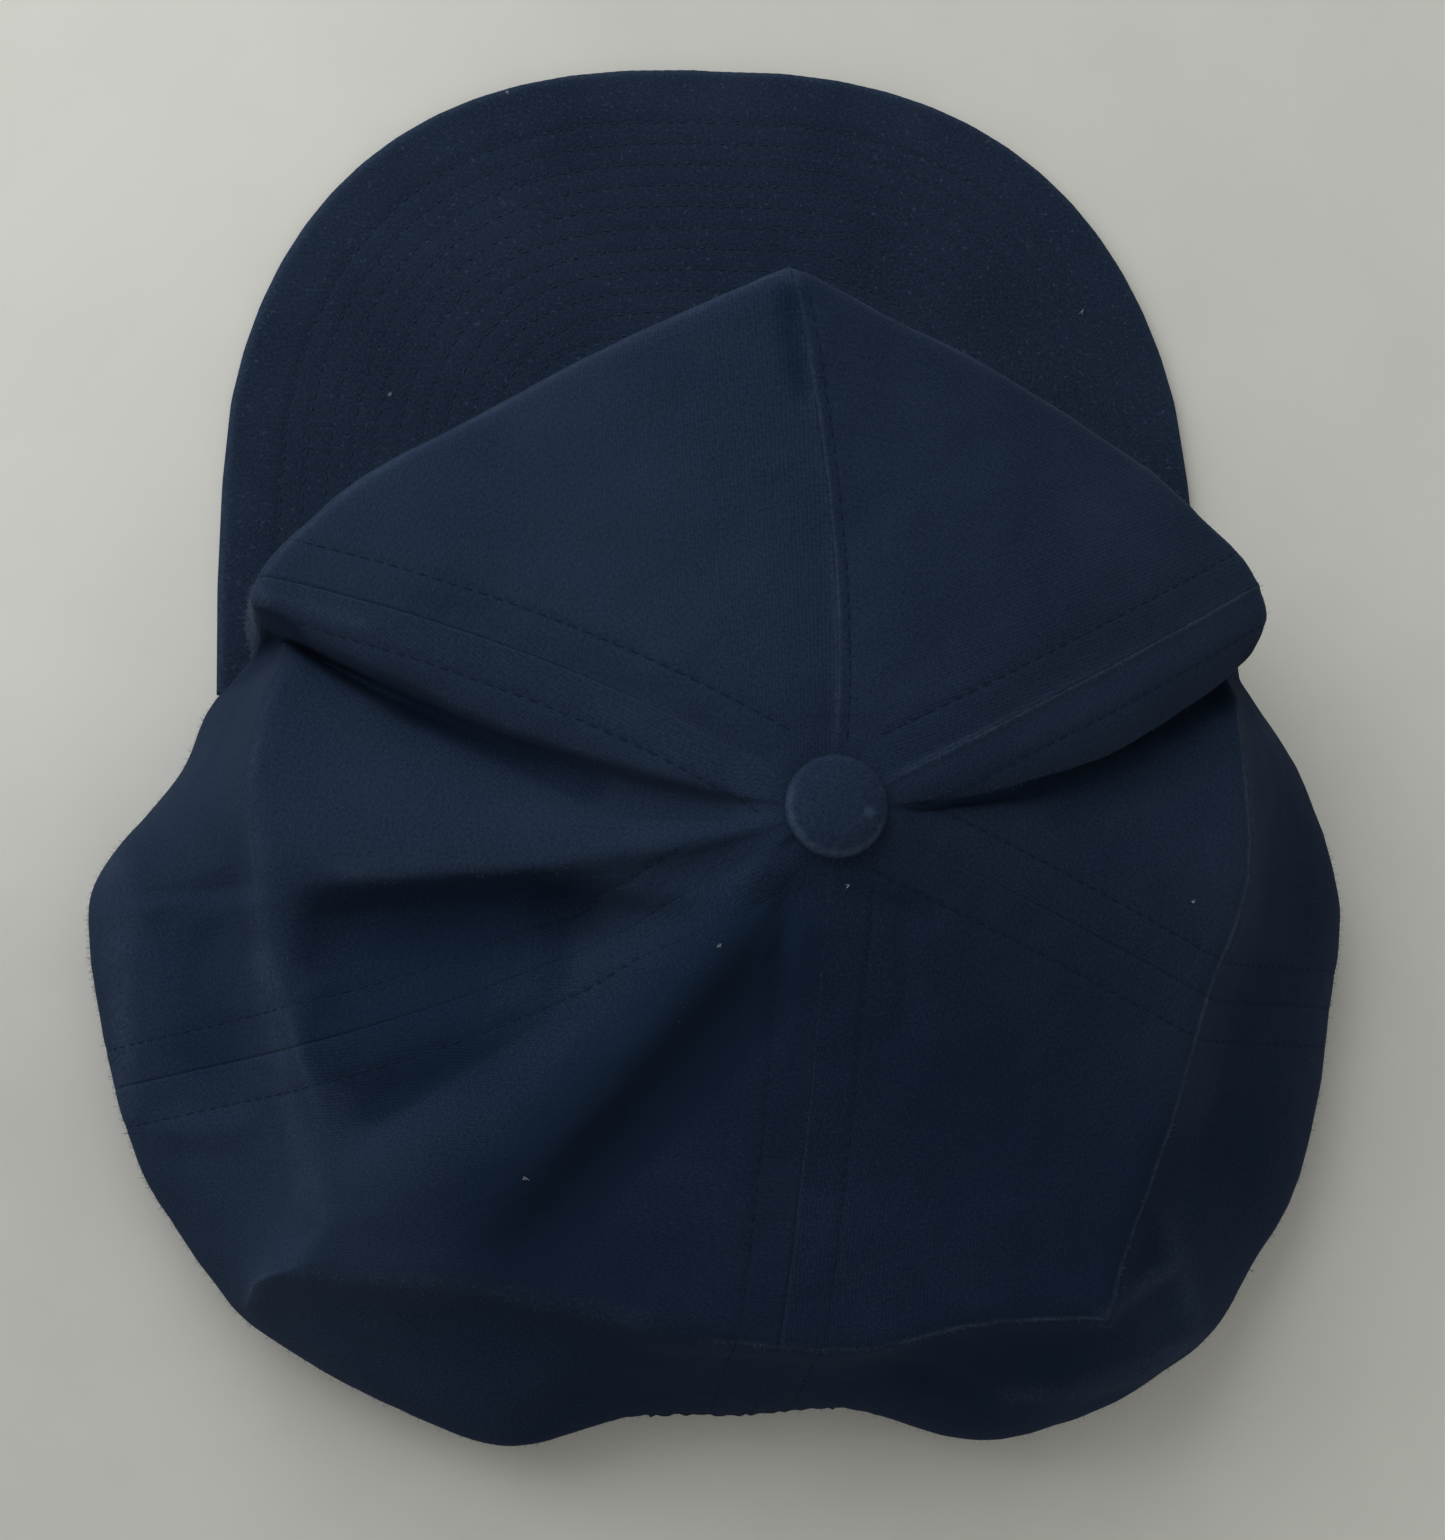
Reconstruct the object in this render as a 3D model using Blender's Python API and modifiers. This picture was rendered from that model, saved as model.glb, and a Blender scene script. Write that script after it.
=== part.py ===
"""A six-panel cloth cap with a flat peak, lying on a surface on its rim and its peak.

Metres, +Z up. The peak points to -Y, the wearer's left is +X. The crown is one sheet of cloth,
lofted through the sections below and cut into six panels along the seams.
"""

import math
from collections import namedtuple

import bmesh
import bpy
from mathutils import Vector

# Crown: its width over the low bulges, its reach from the middle to the prow and to the back,
# and the height of the prow's point.
CROWN_WIDTH = 0.222
CROWN_FRONT = 0.090
CROWN_BACK = 0.098
CROWN_HEIGHT = 0.092

# Cloth: the front panels are backed, the others are plain twill. Panels meet with a small gap.
BACKED_CLOTH = 0.0020
PLAIN_CLOTH = 0.0015
SEAM_GAP = 0.0003

# Wall of the crown: the height of its widest line and how far the hem tucks in under it. From the
# crest the wall first drops this share of its height while it leans out by this share of its
# width, and it bulges over this share of its height above the widest line.
BELLY_HEIGHT = 0.012
HEM_TUCK = 0.0035
WALL_DROP = 0.40
WALL_LEAN = 0.16
WALL_BOW = 0.30

# Depth that the folds and dents in the table below are shares of.
FOLD_DEPTH = 0.008

# Button: it sits over the hole where the panels' points meet.
BUTTON_RADIUS = 0.0080
BUTTON_RISE = 0.0042
NECK_RADIUS = 0.0050
SHANK_RADIUS = 0.0042
BUTTON_EDGE = 0.0005
BUTTON_ACROSS = -0.045
BUTTON_ALONG = -0.067
BUTTON_UP = 0.925

# Peak: a stiff plate, sewn under the front panels, slightly arched from side to side.
PEAK_WIDTH = 0.1814
PEAK_LENGTH = 0.0665
PEAK_ROUND = 0.101
PEAK_SQUARENESS = 2.55
PEAK_THICKNESS = 0.0030
PEAK_ARCH = 0.0025
PEAK_MARGIN = 0.0040
PEAK_EDGE_ROUND = 0.0012

# Gathered elastic band in the hem, at the middle of the back.
BAND_THICKNESS = 0.0024
BAND_GATHERS = 10
GATHER_DEPTH = 0.0006

# Mesh: cells from the button to the crest, from there to the belly, and from the belly to the hem.
TOP_CELLS = 14
WALL_CELLS = 5
HEM_CELLS = 2

Section = namedtuple(
    "Section",
    "place mid_across mid_along mid_up crest_across crest_along crest_up"
    " foot_across foot_along on_peak crisp cells",
)

# Sections of the crown, one for each seam and fold, from the front seam round by the left side.
# mid is half way from the button to the crest, crest is where the top turns down into the wall,
# foot is the widest line of the wall. Across is a share of half CROWN_WIDTH, along of CROWN_FRONT
# where it is negative and else of CROWN_BACK, up of CROWN_HEIGHT. on_peak is 1 where the hem stands
# on the peak, crisp is 1 where the crown has a corner, cells is the mesh up to the next section.
SECTIONS = [
    Section("front seam", -0.05, -0.52, 0.97, 0.00, -1.00, 0.990, 0.00, -0.97, 1, 1, 3),
    Section("left prow", 0.08, -0.49, 0.96, 0.23, -0.90, 0.915, 0.28, -0.93, 1, 0, 3),
    Section("left front", 0.20, -0.43, 0.925, 0.46, -0.77, 0.820, 0.52, -0.82, 1, 0, 3),
    Section("left brow", 0.29, -0.38, 0.89, 0.65, -0.64, 0.725, 0.69, -0.68, 1, 0, 2),
    Section("left front seam", 0.33, -0.33, 0.85, 0.745, -0.53, 0.655, 0.765, -0.52, 1, 0, 2),
    Section("left roll", 0.335, -0.27, 0.83, 0.755, -0.50, 0.640, 0.757, -0.49, 1, 0, 2),
    Section("left overhang", 0.345, -0.205, 0.79, 0.745, -0.475, 0.610, 0.757, -0.46, 1, 0, 1),
    Section("left tuck", 0.335, -0.195, 0.70, 0.72, -0.45, 0.460, 0.785, -0.42, 1, 0, 1),
    Section("left pocket", 0.345, -0.145, 0.71, 0.705, -0.425, 0.565, 0.815, -0.385, 0, 0, 2),
    Section("left side", 0.36, -0.09, 0.74, 0.75, -0.28, 0.565, 0.86, -0.27, 0, 0, 3),
    Section("left ledge", 0.37, 0.00, 0.75, 0.77, -0.04, 0.570, 1.01, 0.01, 0, 0, 2),
    Section("left ledge foot", 0.37, 0.05, 0.71, 0.765, 0.04, 0.565, 1.01, 0.08, 0, 0, 3),
    Section("left hollow", 0.365, 0.10, 0.69, 0.74, 0.14, 0.560, 1.00, 0.185, 0, 0, 3),
    Section("left back seam", 0.34, 0.155, 0.69, 0.705, 0.28, 0.545, 0.975, 0.33, 0, 0, 3),
    Section("left flank", 0.305, 0.24, 0.71, 0.67, 0.43, 0.520, 0.93, 0.49, 0, 0, 3),
    Section("left haunch", 0.26, 0.33, 0.725, 0.69, 0.55, 0.480, 0.865, 0.61, 0, 0, 3),
    Section("left corner", 0.22, 0.385, 0.70, 0.76, 0.655, 0.430, 0.785, 0.735, 0, 1, 3),
    Section("left rump", 0.18, 0.42, 0.69, 0.555, 0.675, 0.490, 0.595, 0.87, 0, 0, 3),
    Section("left bulge", 0.12, 0.44, 0.69, 0.33, 0.72, 0.520, 0.395, 0.965, 0, 0, 3),
    Section("left band end", 0.055, 0.45, 0.70, 0.15, 0.775, 0.540, 0.16, 0.925, 0, 0, 2),
    Section("back seam", -0.02, 0.44, 0.71, 0.01, 0.80, 0.555, 0.01, 0.93, 0, 0, 2),
    Section("right band end", -0.08, 0.43, 0.715, -0.13, 0.805, 0.560, -0.13, 0.925, 0, 0, 3),
    Section("right bulge", -0.145, 0.41, 0.72, -0.265, 0.775, 0.575, -0.38, 0.995, 0, 0, 3),
    Section("right corner", -0.235, 0.36, 0.74, -0.48, 0.77, 0.565, -0.65, 0.915, 0, 1, 3),
    Section("right flank", -0.30, 0.24, 0.76, -0.575, 0.49, 0.590, -0.865, 0.62, 0, 0, 4),
    Section("right back seam", -0.345, 0.08, 0.78, -0.65, 0.24, 0.610, -0.97, 0.245, 0, 0, 3),
    Section("right side", -0.38, -0.01, 0.78, -0.72, 0.04, 0.620, -0.99, 0.04, 0, 0, 3),
    Section("right cheek", -0.395, -0.09, 0.77, -0.725, -0.145, 0.610, -0.955, -0.16, 0, 0, 2),
    Section("right pocket", -0.41, -0.13, 0.74, -0.73, -0.30, 0.585, -0.875, -0.325, 0, 0, 1),
    Section("right tuck", -0.42, -0.165, 0.715, -0.735, -0.365, 0.500, -0.84, -0.38, 1, 0, 1),
    Section("right overhang", -0.445, -0.16, 0.79, -0.75, -0.385, 0.600, -0.815, -0.42, 1, 0, 2),
    Section("right roll", -0.43, -0.22, 0.84, -0.77, -0.455, 0.630, -0.805, -0.45, 1, 0, 2),
    Section("right front seam", -0.40, -0.28, 0.86, -0.755, -0.51, 0.650, -0.79, -0.49, 1, 0, 2),
    Section("right brow", -0.36, -0.36, 0.89, -0.64, -0.64, 0.725, -0.70, -0.67, 1, 0, 3),
    Section("right front", -0.27, -0.44, 0.925, -0.43, -0.79, 0.820, -0.52, -0.82, 1, 0, 3),
    Section("right prow", -0.165, -0.49, 0.955, -0.20, -0.915, 0.915, -0.28, -0.93, 1, 0, 3),
]

Panel = namedtuple("Panel", "name first last cloth color")

TWILL = (0.020, 0.032, 0.064, 1.0)
TWILL_DULL = (0.017, 0.027, 0.054, 1.0)
PANELS = [
    Panel("front_panel_left", "front seam", "left front seam", BACKED_CLOTH, TWILL),
    Panel("side_panel_left", "left front seam", "left back seam", PLAIN_CLOTH, TWILL),
    Panel("back_panel_left", "left back seam", "back seam", PLAIN_CLOTH, TWILL_DULL),
    Panel("back_panel_right", "back seam", "right back seam", PLAIN_CLOTH, TWILL_DULL),
    Panel("side_panel_right", "right back seam", "right front seam", PLAIN_CLOTH, TWILL),
    Panel("front_panel_right", "right front seam", "front seam", BACKED_CLOTH, TWILL),
]
BAND_SPAN = ("left band end", "right band end")

Heading = namedtuple("Heading", "place degrees")

# Way in which some sections leave the button, round from the front by the left. The folded-back
# strips behind the front seams leave it sideways, and the sections between are spread evenly.
HEADINGS = [
    Heading("front seam", 0),
    Heading("left front seam", 60),
    Heading("left overhang", 88),
    Heading("left back seam", 118),
    Heading("back seam", 177),
    Heading("right back seam", 245),
    Heading("right overhang", 268),
    Heading("right front seam", 297),
    Heading("front seam", 360),
]

# The peak's inner edge stops this share of a section short of the last sections named here, and its
# side edges end this share of CROWN_FRONT ahead of the middle.
PEAK_SPAN = ("right overhang", "left overhang")
PEAK_END_SETBACK = 0.5
PEAK_HEEL = 0.41

Fold = namedtuple(
    "Fold", "place from_across from_along to_across to_along left right ends depth"
)

# Folds and dents, each along a line seen from above. left and right are its widths on either side,
# going along it, and ends is how far it runs out past them, as shares of half CROWN_WIDTH. depth is
# a share of FOLD_DEPTH, outwards.
FOLDS = [
    Fold("left dent", 0.33, 0.07, 0.63, 0.075, 0.20, 0.05, 0.09, -0.85),
    Fold("crease beside the button", 0.33, 0.085, 0.16, 0.105, 0.035, 0.05, 0.06, -0.45),
    Fold("crease behind the button", 0.06, 0.08, -0.03, 0.055, 0.04, 0.06, 0.05, -0.35),
    Fold("groove behind the dent", 0.26, 0.23, 0.60, 0.40, 0.06, 0.09, 0.08, -0.30),
    Fold("slanting ridge", 0.12, 0.15, 0.37, 0.50, 0.06, 0.12, 0.10, 0.38),
    Fold("foot of the ridge", 0.07, 0.23, 0.36, 0.60, 0.11, 0.06, 0.10, -0.22),
    Fold("left wall pleat", 0.82, 0.03, 0.92, 0.05, 0.16, 0.05, 0.05, -0.30),
    Fold("right wall pleat", -0.64, 0.62, -0.68, 0.75, 0.06, 0.06, 0.06, 0.35),
    Fold("right hem ridge", -0.45, 0.87, -0.74, 0.785, 0.06, 0.06, 0.08, 0.40),
    Fold("pinch in the prow", 0.00, -0.88, 0.00, -0.72, 0.02, 0.06, 0.06, -0.30),
]


def in_metres(across, along, up=0.0):
    """The point that a table gives as shares of the crown's sizes."""
    reach = CROWN_FRONT if along < 0 else CROWN_BACK
    return Vector((across * CROWN_WIDTH / 2, along * reach, up * CROWN_HEIGHT))


BUTTON_SEAT = in_metres(BUTTON_ACROSS, BUTTON_ALONG, BUTTON_UP)
CREST_LINE, BELLY_LINE = TOP_CELLS, TOP_CELLS + WALL_CELLS
HEM_LINE = BELLY_LINE + HEM_CELLS


def smooth(t):
    """0 to 1 with level ends."""
    t = min(1.0, max(0.0, t))
    return t * t * (3 - 2 * t)


def peak_half_width():
    return PEAK_WIDTH / 2


def peak_front():
    """Where the peak's front edge lies along Y, ahead of the front seam's foot."""
    return in_metres(0, SECTIONS[0].foot_along).y - PEAK_LENGTH


def peak_underside(across):
    """Height of the peak's lower face at a distance from its middle line."""
    share = min(1.0, abs(across) / peak_half_width())
    return PEAK_ARCH * (1 - share * share)


def around(values, crisp, at):
    """Smooth closed curve through one point for each section, read at a section number."""
    count = len(values)
    first = math.floor(at) % count
    before, here, there, after = (values[(first + k) % count] for k in (-1, 0, 1, 2))
    step = (there - here).length or 1e-9
    step_before = (here - before).length or 1e-9
    step_after = (after - there).length or 1e-9
    chord = (there - here) / step
    slope_in = (chord * step_before + (here - before) / step_before * step) / (step + step_before)
    slope_out = (chord * step_after + (after - there) / step_after * step) / (step + step_after)
    if crisp[first]:
        slope_in = chord
    if crisp[(first + 1) % count]:
        slope_out = chord
    t = at - math.floor(at)
    return (
        here * (2 * t**3 - 3 * t**2 + 1)
        + slope_in * step * (t**3 - 2 * t**2 + t)
        + there * (3 * t**2 - 2 * t**3)
        + slope_out * step * (t**3 - t**2)
    )


MIDS = [in_metres(s.mid_across, s.mid_along, s.mid_up) for s in SECTIONS]
CRESTS = [in_metres(s.crest_across, s.crest_along, s.crest_up) for s in SECTIONS]
FEET = [in_metres(s.foot_across, s.foot_along) for s in SECTIONS]
CRISP = [s.crisp for s in SECTIONS]


def number_of(place):
    return next(i for i, s in enumerate(SECTIONS) if s.place == place)


def start_heading(at):
    """Heading at the button's edge in radians, read between the rows of the table."""
    places = [number_of(row.place) for row in HEADINGS[:-1]] + [len(SECTIONS)]
    for low, high, here, there in zip(places, places[1:], HEADINGS, HEADINGS[1:]):
        if low <= at <= high:
            share = (at - low) / (high - low)
            return math.radians(here.degrees + (there.degrees - here.degrees) * share)
    raise ValueError(at)


def on_peak_share(at):
    """1 where the hem stands on the peak, 0 where it reaches the surface, with a ramp between."""
    count = len(SECTIONS)
    first = math.floor(at) % count
    here, there = SECTIONS[first].on_peak, SECTIONS[(first + 1) % count].on_peak
    return here + (there - here) * smooth(at - math.floor(at))


def hem_height(foot, at):
    on_top = peak_underside(foot.x) + PEAK_THICKNESS + SEAM_GAP
    return on_top * on_peak_share(at)


def section_line(at):
    """Points from the button's edge over the crest and down the wall to the hem."""
    heading = start_heading(at)
    start = BUTTON_SEAT + NECK_RADIUS * Vector((math.sin(heading), -math.cos(heading), 0))
    mid, crest = around(MIDS, CRISP, at), around(CRESTS, CRISP, at)
    foot = around(FEET, CRISP, at)
    base = hem_height(foot, at)
    outwards = Vector((foot.x, foot.y, 0)).normalized()
    belly = Vector((foot.x, foot.y, base + BELLY_HEIGHT))
    hem = belly - outwards * HEM_TUCK * (1 - on_peak_share(at))
    hem.z = base
    brow = crest.lerp(belly, WALL_LEAN)
    brow.z = crest.z + (belly.z - crest.z) * WALL_DROP
    bulge = Vector((foot.x, foot.y, belly.z + WALL_BOW * (crest.z - belly.z)))
    line = []
    for i in range(TOP_CELLS + 1):
        t = i / TOP_CELLS
        point = start * (1 - t) * (1 - 2 * t) + mid * 4 * t * (1 - t) + crest * t * (2 * t - 1)
        away = math.hypot(point.x - start.x, point.y - start.y)
        point.z = start.z + (point.z - start.z) * smooth(away / BUTTON_RADIUS / 1.5)
        line.append(point)
    for i in range(1, WALL_CELLS + 1):
        t = i / WALL_CELLS
        drop = crest * (1 - t) ** 3 + brow * 3 * t * (1 - t) ** 2
        line.append(drop + bulge * 3 * t * t * (1 - t) + belly * t**3)
    for i in range(1, HEM_CELLS + 1):
        t = i / HEM_CELLS
        point = belly.lerp(hem, t * t)
        point.z = belly.z + (hem.z - belly.z) * t
        line.append(point)
    return line


def fold_depth_at(point):
    """How far the folds move the cloth outwards at a point."""
    total = 0.0
    for fold in FOLDS:
        start = in_metres(fold.from_across, fold.from_along)
        end = in_metres(fold.to_across, fold.to_along)
        run = end - start
        length = run.length
        away = Vector((point.x, point.y, 0)) - start
        along = away.dot(run) / length
        aside = (run.x * away.y - run.y * away.x) / length
        half_crown = CROWN_WIDTH / 2
        across = aside / (half_crown * (fold.left if aside > 0 else fold.right))
        past_end = max(0.0, -along, along - length) / (half_crown * fold.ends)
        distance = math.hypot(across, past_end)
        total += fold.depth * FOLD_DEPTH * smooth(1 - distance)
    return total


def columns():
    """Section numbers of the mesh's columns, once round the crown."""
    found = []
    for number, section in enumerate(SECTIONS):
        found += [number + k / section.cells for k in range(section.cells)]
    return found


def grid_mesh(lines, closed):
    """Open surface through lines of points, side by side, each seen from outside left to right."""
    mesh = bmesh.new()
    rows = [[mesh.verts.new(point) for point in line] for line in lines]
    pairs = list(zip(rows, rows[1:] + rows[:1])) if closed else list(zip(rows, rows[1:]))
    for left, right in pairs:
        for k in range(len(left) - 1):
            mesh.faces.new((left[k], left[k + 1], right[k + 1], right[k]))
    mesh.normal_update()
    return mesh, rows


def crown_sheet():
    """Points and outward directions of the whole crown, as columns from the button to the hem."""
    lines = [section_line(at) for at in columns()]
    plain, rows = grid_mesh(lines, closed=True)
    for row in rows:
        for vert in row:
            fade = smooth((BUTTON_SEAT - vert.co).length / BUTTON_RADIUS - 1)
            fade *= smooth((vert.co.z - BELLY_HEIGHT / 2) / BELLY_HEIGHT)
            vert.co += vert.normal * fold_depth_at(vert.co) * fade
    plain.normal_update()
    points = [[vert.co.copy() for vert in row] for row in rows]
    normals = [[vert.normal.copy() for vert in row] for row in rows]
    plain.free()
    for row in normals:
        row[-1].z = 0.0
        row[-1].normalize()
    return points, normals


def finished(mesh, name, color, roughness, collection):
    """An object from a bmesh, shaded smooth, with its own material."""
    data = bpy.data.meshes.new(name)
    bmesh.ops.recalc_face_normals(mesh, faces=mesh.faces)
    mesh.to_mesh(data)
    mesh.free()
    data.shade_smooth()
    data.set_sharp_from_angle(angle=math.radians(50))
    material = bpy.data.materials.new(name + "_cloth")
    material.use_nodes = True
    shader = material.node_tree.nodes["Principled BSDF"]
    shader.inputs["Base Color"].default_value = color
    shader.inputs["Roughness"].default_value = roughness
    shader.inputs["Metallic"].default_value = 0.0
    data.materials.append(material)
    piece = bpy.data.objects.new(name, data)
    collection.objects.link(piece)
    return piece


def set_back_edges(mesh, hem):
    """Moves the border of an open surface in by half the seam gap, and leaves the hem's height alone."""
    shifts = {}
    for edge in mesh.edges:
        if not edge.is_boundary:
            continue
        face = edge.link_faces[0]
        run = (edge.verts[1].co - edge.verts[0].co).normalized()
        inward = face.normal.cross(run)
        middle = (edge.verts[0].co + edge.verts[1].co) / 2
        if inward.dot(face.calc_center_median() - middle) < 0:
            inward.negate()
        for vert in edge.verts:
            shifts[vert] = shifts.get(vert, Vector()) + inward
    for vert, both in shifts.items():
        shift = both * SEAM_GAP / both.length_squared
        if vert in hem:
            shift.z = 0.0
        vert.co += shift


def thickened(mesh, normals, thickness):
    """Gives an open cloth surface its inner skin, along the crown's own directions, and its edges."""
    border = [edge for edge in mesh.edges if edge.is_boundary]
    outer_faces = list(mesh.faces)
    inner = {vert: mesh.verts.new(vert.co - normals[vert] * thickness) for vert in normals}
    for edge in border:
        loop = edge.link_loops[0]
        first, second = loop.vert, loop.link_loop_next.vert
        mesh.faces.new((second, first, inner[first], inner[second]))
    for face in outer_faces:
        mesh.faces.new([inner[vert] for vert in reversed(face.verts)])


def cut_from_sheet(points, normals, numbers, rows, thickness):
    """A solid piece of the crown: the sheet's columns and rows named, set back by the seam gap."""
    mesh = bmesh.new()
    directions = {}
    made = {}
    for i, k_first, k_last in numbers:
        for k in range(k_first, k_last + 1):
            made[i, k] = mesh.verts.new(points[i % len(points)][k])
            directions[made[i, k]] = normals[i % len(points)][k]
    for (i, i_first, i_last), (j, j_first, j_last) in zip(numbers, numbers[1:]):
        for k in rows(i, j):
            mesh.faces.new((made[i, k], made[i, k + 1], made[j, k + 1], made[j, k]))
    mesh.normal_update()
    set_back_edges(mesh, {vert for (i, k), vert in made.items() if k == HEM_LINE})
    thickened(mesh, directions, thickness)
    return mesh


def column_range(first_place, last_place):
    """Column numbers from one section to another, the last one past the count where it wraps."""
    places = columns()
    first, last = places.index(number_of(first_place)), places.index(number_of(last_place))
    if last <= first:
        last += len(places)
    return range(first, last + 1)


def make_panels(points, normals, collection):
    band = column_range(*BAND_SPAN)
    top_of_band = HEM_LINE - HEM_CELLS
    for panel in PANELS:
        span = list(column_range(panel.first, panel.last))

        def lowest(i, span=span):
            inside_band = band[0] < i < band[-1]
            at_seam = i in (span[0], span[-1]) and band[0] <= i <= band[-1]
            return top_of_band if inside_band or at_seam else HEM_LINE

        def rows(i, j):
            over_band = band[0] <= i and j <= band[-1]
            return range(top_of_band if over_band else HEM_LINE)

        numbers = [(i, 0, lowest(i)) for i in span]
        mesh = cut_from_sheet(points, normals, numbers, rows, panel.cloth)
        finished(mesh, panel.name, panel.color, 0.9, collection)


def make_band(collection):
    """The elastic band's casing, cut from the same sheet and gathered into upright ribs."""
    first, last = number_of(BAND_SPAN[0]), number_of(BAND_SPAN[1])
    count = BAND_GATHERS * 4
    lines = []
    for i in range(count + 1):
        line = section_line(first + (last - first) * i / count)[BELLY_LINE:]
        rib = GATHER_DEPTH * math.cos(2 * math.pi * BAND_GATHERS * i / count)
        outwards = Vector((line[0].x, line[0].y, 0)).normalized()
        lines.append([point + outwards * rib for point in line])
    mesh, rows = grid_mesh(lines, closed=False)
    directions = {}
    for row in rows:
        for vert in row:
            directions[vert] = Vector((vert.co.x, vert.co.y, 0)).normalized()
    set_back_edges(mesh, {row[-1] for row in rows})
    thickened(mesh, directions, BAND_THICKNESS)
    finished(mesh, "elastic_band", TWILL_DULL, 0.85, collection)


def peak_edge(turn):
    """The peak's outer edge, a squarish ellipse: turn runs from -90 at its right to 90 at its left."""
    angle = math.radians(turn)
    power = 2 / PEAK_SQUARENESS
    across = peak_half_width() * math.copysign(abs(math.sin(angle)) ** power, math.sin(angle))
    ahead = PEAK_ROUND * abs(math.cos(angle)) ** power
    return Vector((across, peak_front() + PEAK_ROUND - ahead, 0))


def make_peak(collection):
    """A lofted plate from the crown's foot out to the edge, then given its thickness and round edge."""
    first = number_of(PEAK_SPAN[0]) + PEAK_END_SETBACK
    last = number_of(PEAK_SPAN[1]) + len(SECTIONS) - PEAK_END_SETBACK
    count, rings = 32, 6
    back_edge = PEAK_ROUND + peak_front()
    heel = -PEAK_HEEL * CROWN_FRONT
    mesh = bmesh.new()
    rows = []
    for i in range(count + 1):
        share = i / count
        foot = around(FEET, CRISP, first + (last - first) * share)
        inner = foot - foot.normalized() * PEAK_MARGIN
        outer = peak_edge(-90 + 180 * share)
        outer.y += (heel - back_edge) * smooth(abs(2 * share - 1) * 5 - 4)
        row = []
        for k in range(rings + 1):
            point = inner.lerp(outer, k / rings)
            point.z = peak_underside(point.x)
            row.append(mesh.verts.new(point))
        rows.append(row)
    for left, right in zip(rows, rows[1:]):
        for k in range(rings):
            mesh.faces.new((left[k], right[k], right[k + 1], left[k + 1]))
    mesh.normal_update()
    if sum(face.normal.z for face in mesh.faces) < 0:
        bmesh.ops.reverse_faces(mesh, faces=mesh.faces)
    data = bpy.data.meshes.new("peak")
    mesh.to_mesh(data)
    mesh.free()
    peak = bpy.data.objects.new("peak", data)
    collection.objects.link(peak)
    plate = peak.modifiers.new("plate", "SOLIDIFY")
    plate.thickness = PEAK_THICKNESS
    plate.offset = 1.0
    edge = peak.modifiers.new("rounded edge", "BEVEL")
    edge.width = PEAK_EDGE_ROUND
    edge.segments = 2
    edge.limit_method = "ANGLE"
    edge.angle_limit = math.radians(50)
    data.shade_smooth()
    material = bpy.data.materials.new("peak_cloth")
    material.use_nodes = True
    shader = material.node_tree.nodes["Principled BSDF"]
    shader.inputs["Base Color"].default_value = (0.016, 0.026, 0.048, 1.0)
    shader.inputs["Roughness"].default_value = 0.9
    data.materials.append(material)


def make_button(collection):
    """A covered dome over the panels' points, with its shank through them."""
    profile = []
    for turn in (0, 20, 40, 60, 78, 90):
        angle = math.radians(turn)
        rise = SEAM_GAP + BUTTON_EDGE + BUTTON_RISE * math.cos(angle)
        profile.append((BUTTON_RADIUS * math.sin(angle), rise))
    profile += [
        (BUTTON_RADIUS - BUTTON_EDGE, SEAM_GAP),
        (SHANK_RADIUS, SEAM_GAP),
        (SHANK_RADIUS, -BACKED_CLOTH - BUTTON_EDGE),
        (0.0, -BACKED_CLOTH - BUTTON_EDGE),
    ]
    data = bpy.data.meshes.new("top_button")
    data.from_pydata([(x, 0, z) for x, z in profile], [(i, i + 1) for i in range(len(profile) - 1)], [])
    button = bpy.data.objects.new("top_button", data)
    collection.objects.link(button)
    button.location = BUTTON_SEAT
    turned = button.modifiers.new("turned", "SCREW")
    turned.steps = turned.render_steps = 16
    turned.use_merge_vertices = True
    turned.merge_threshold = 0.00002
    turned.use_smooth_shade = True
    material = bpy.data.materials.new("button_cloth")
    material.use_nodes = True
    shader = material.node_tree.nodes["Principled BSDF"]
    shader.inputs["Base Color"].default_value = TWILL
    shader.inputs["Roughness"].default_value = 0.8
    data.materials.append(material)


def set_on_surface():
    """Puts the box's bottom middle at the origin, under an empty that holds the whole cap."""
    bpy.context.view_layer.update()
    graph = bpy.context.evaluated_depsgraph_get()
    lowest, highest = [math.inf] * 3, [-math.inf] * 3
    pieces = [piece for piece in bpy.data.objects if piece.type == "MESH"]
    for piece in pieces:
        evaluated = piece.evaluated_get(graph)
        mesh = evaluated.to_mesh()
        for vert in mesh.vertices:
            place = evaluated.matrix_world @ vert.co
            lowest = [min(a, b) for a, b in zip(lowest, place)]
            highest = [max(a, b) for a, b in zip(highest, place)]
        evaluated.to_mesh_clear()
    whole = bpy.data.objects.new("cap", None)
    bpy.data.collections["Six-panel cap"].objects.link(whole)
    for piece in pieces:
        piece.parent = whole
    whole.location = (-(lowest[0] + highest[0]) / 2, -(lowest[1] + highest[1]) / 2, -lowest[2])


def main():
    for old in list(bpy.data.objects):
        bpy.data.objects.remove(old, do_unlink=True)
    collection = bpy.data.collections.new("Six-panel cap")
    bpy.context.scene.collection.children.link(collection)
    points, normals = crown_sheet()
    make_panels(points, normals, collection)
    make_band(collection)
    make_peak(collection)
    make_button(collection)
    set_on_surface()


main()
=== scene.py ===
"""Looks of a six-panel cloth cap with a flat peak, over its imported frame.

Metres, +Z up. The peak points to -Y and the wearer's left is +X. The crown is made as one dense
sheet of cloth on the part's own sections, given its seams, tapes, hem and small creases, and cut
into its panels. The peak is lofted from its node's outline. Thread, weave and lint are added here.
"""

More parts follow.
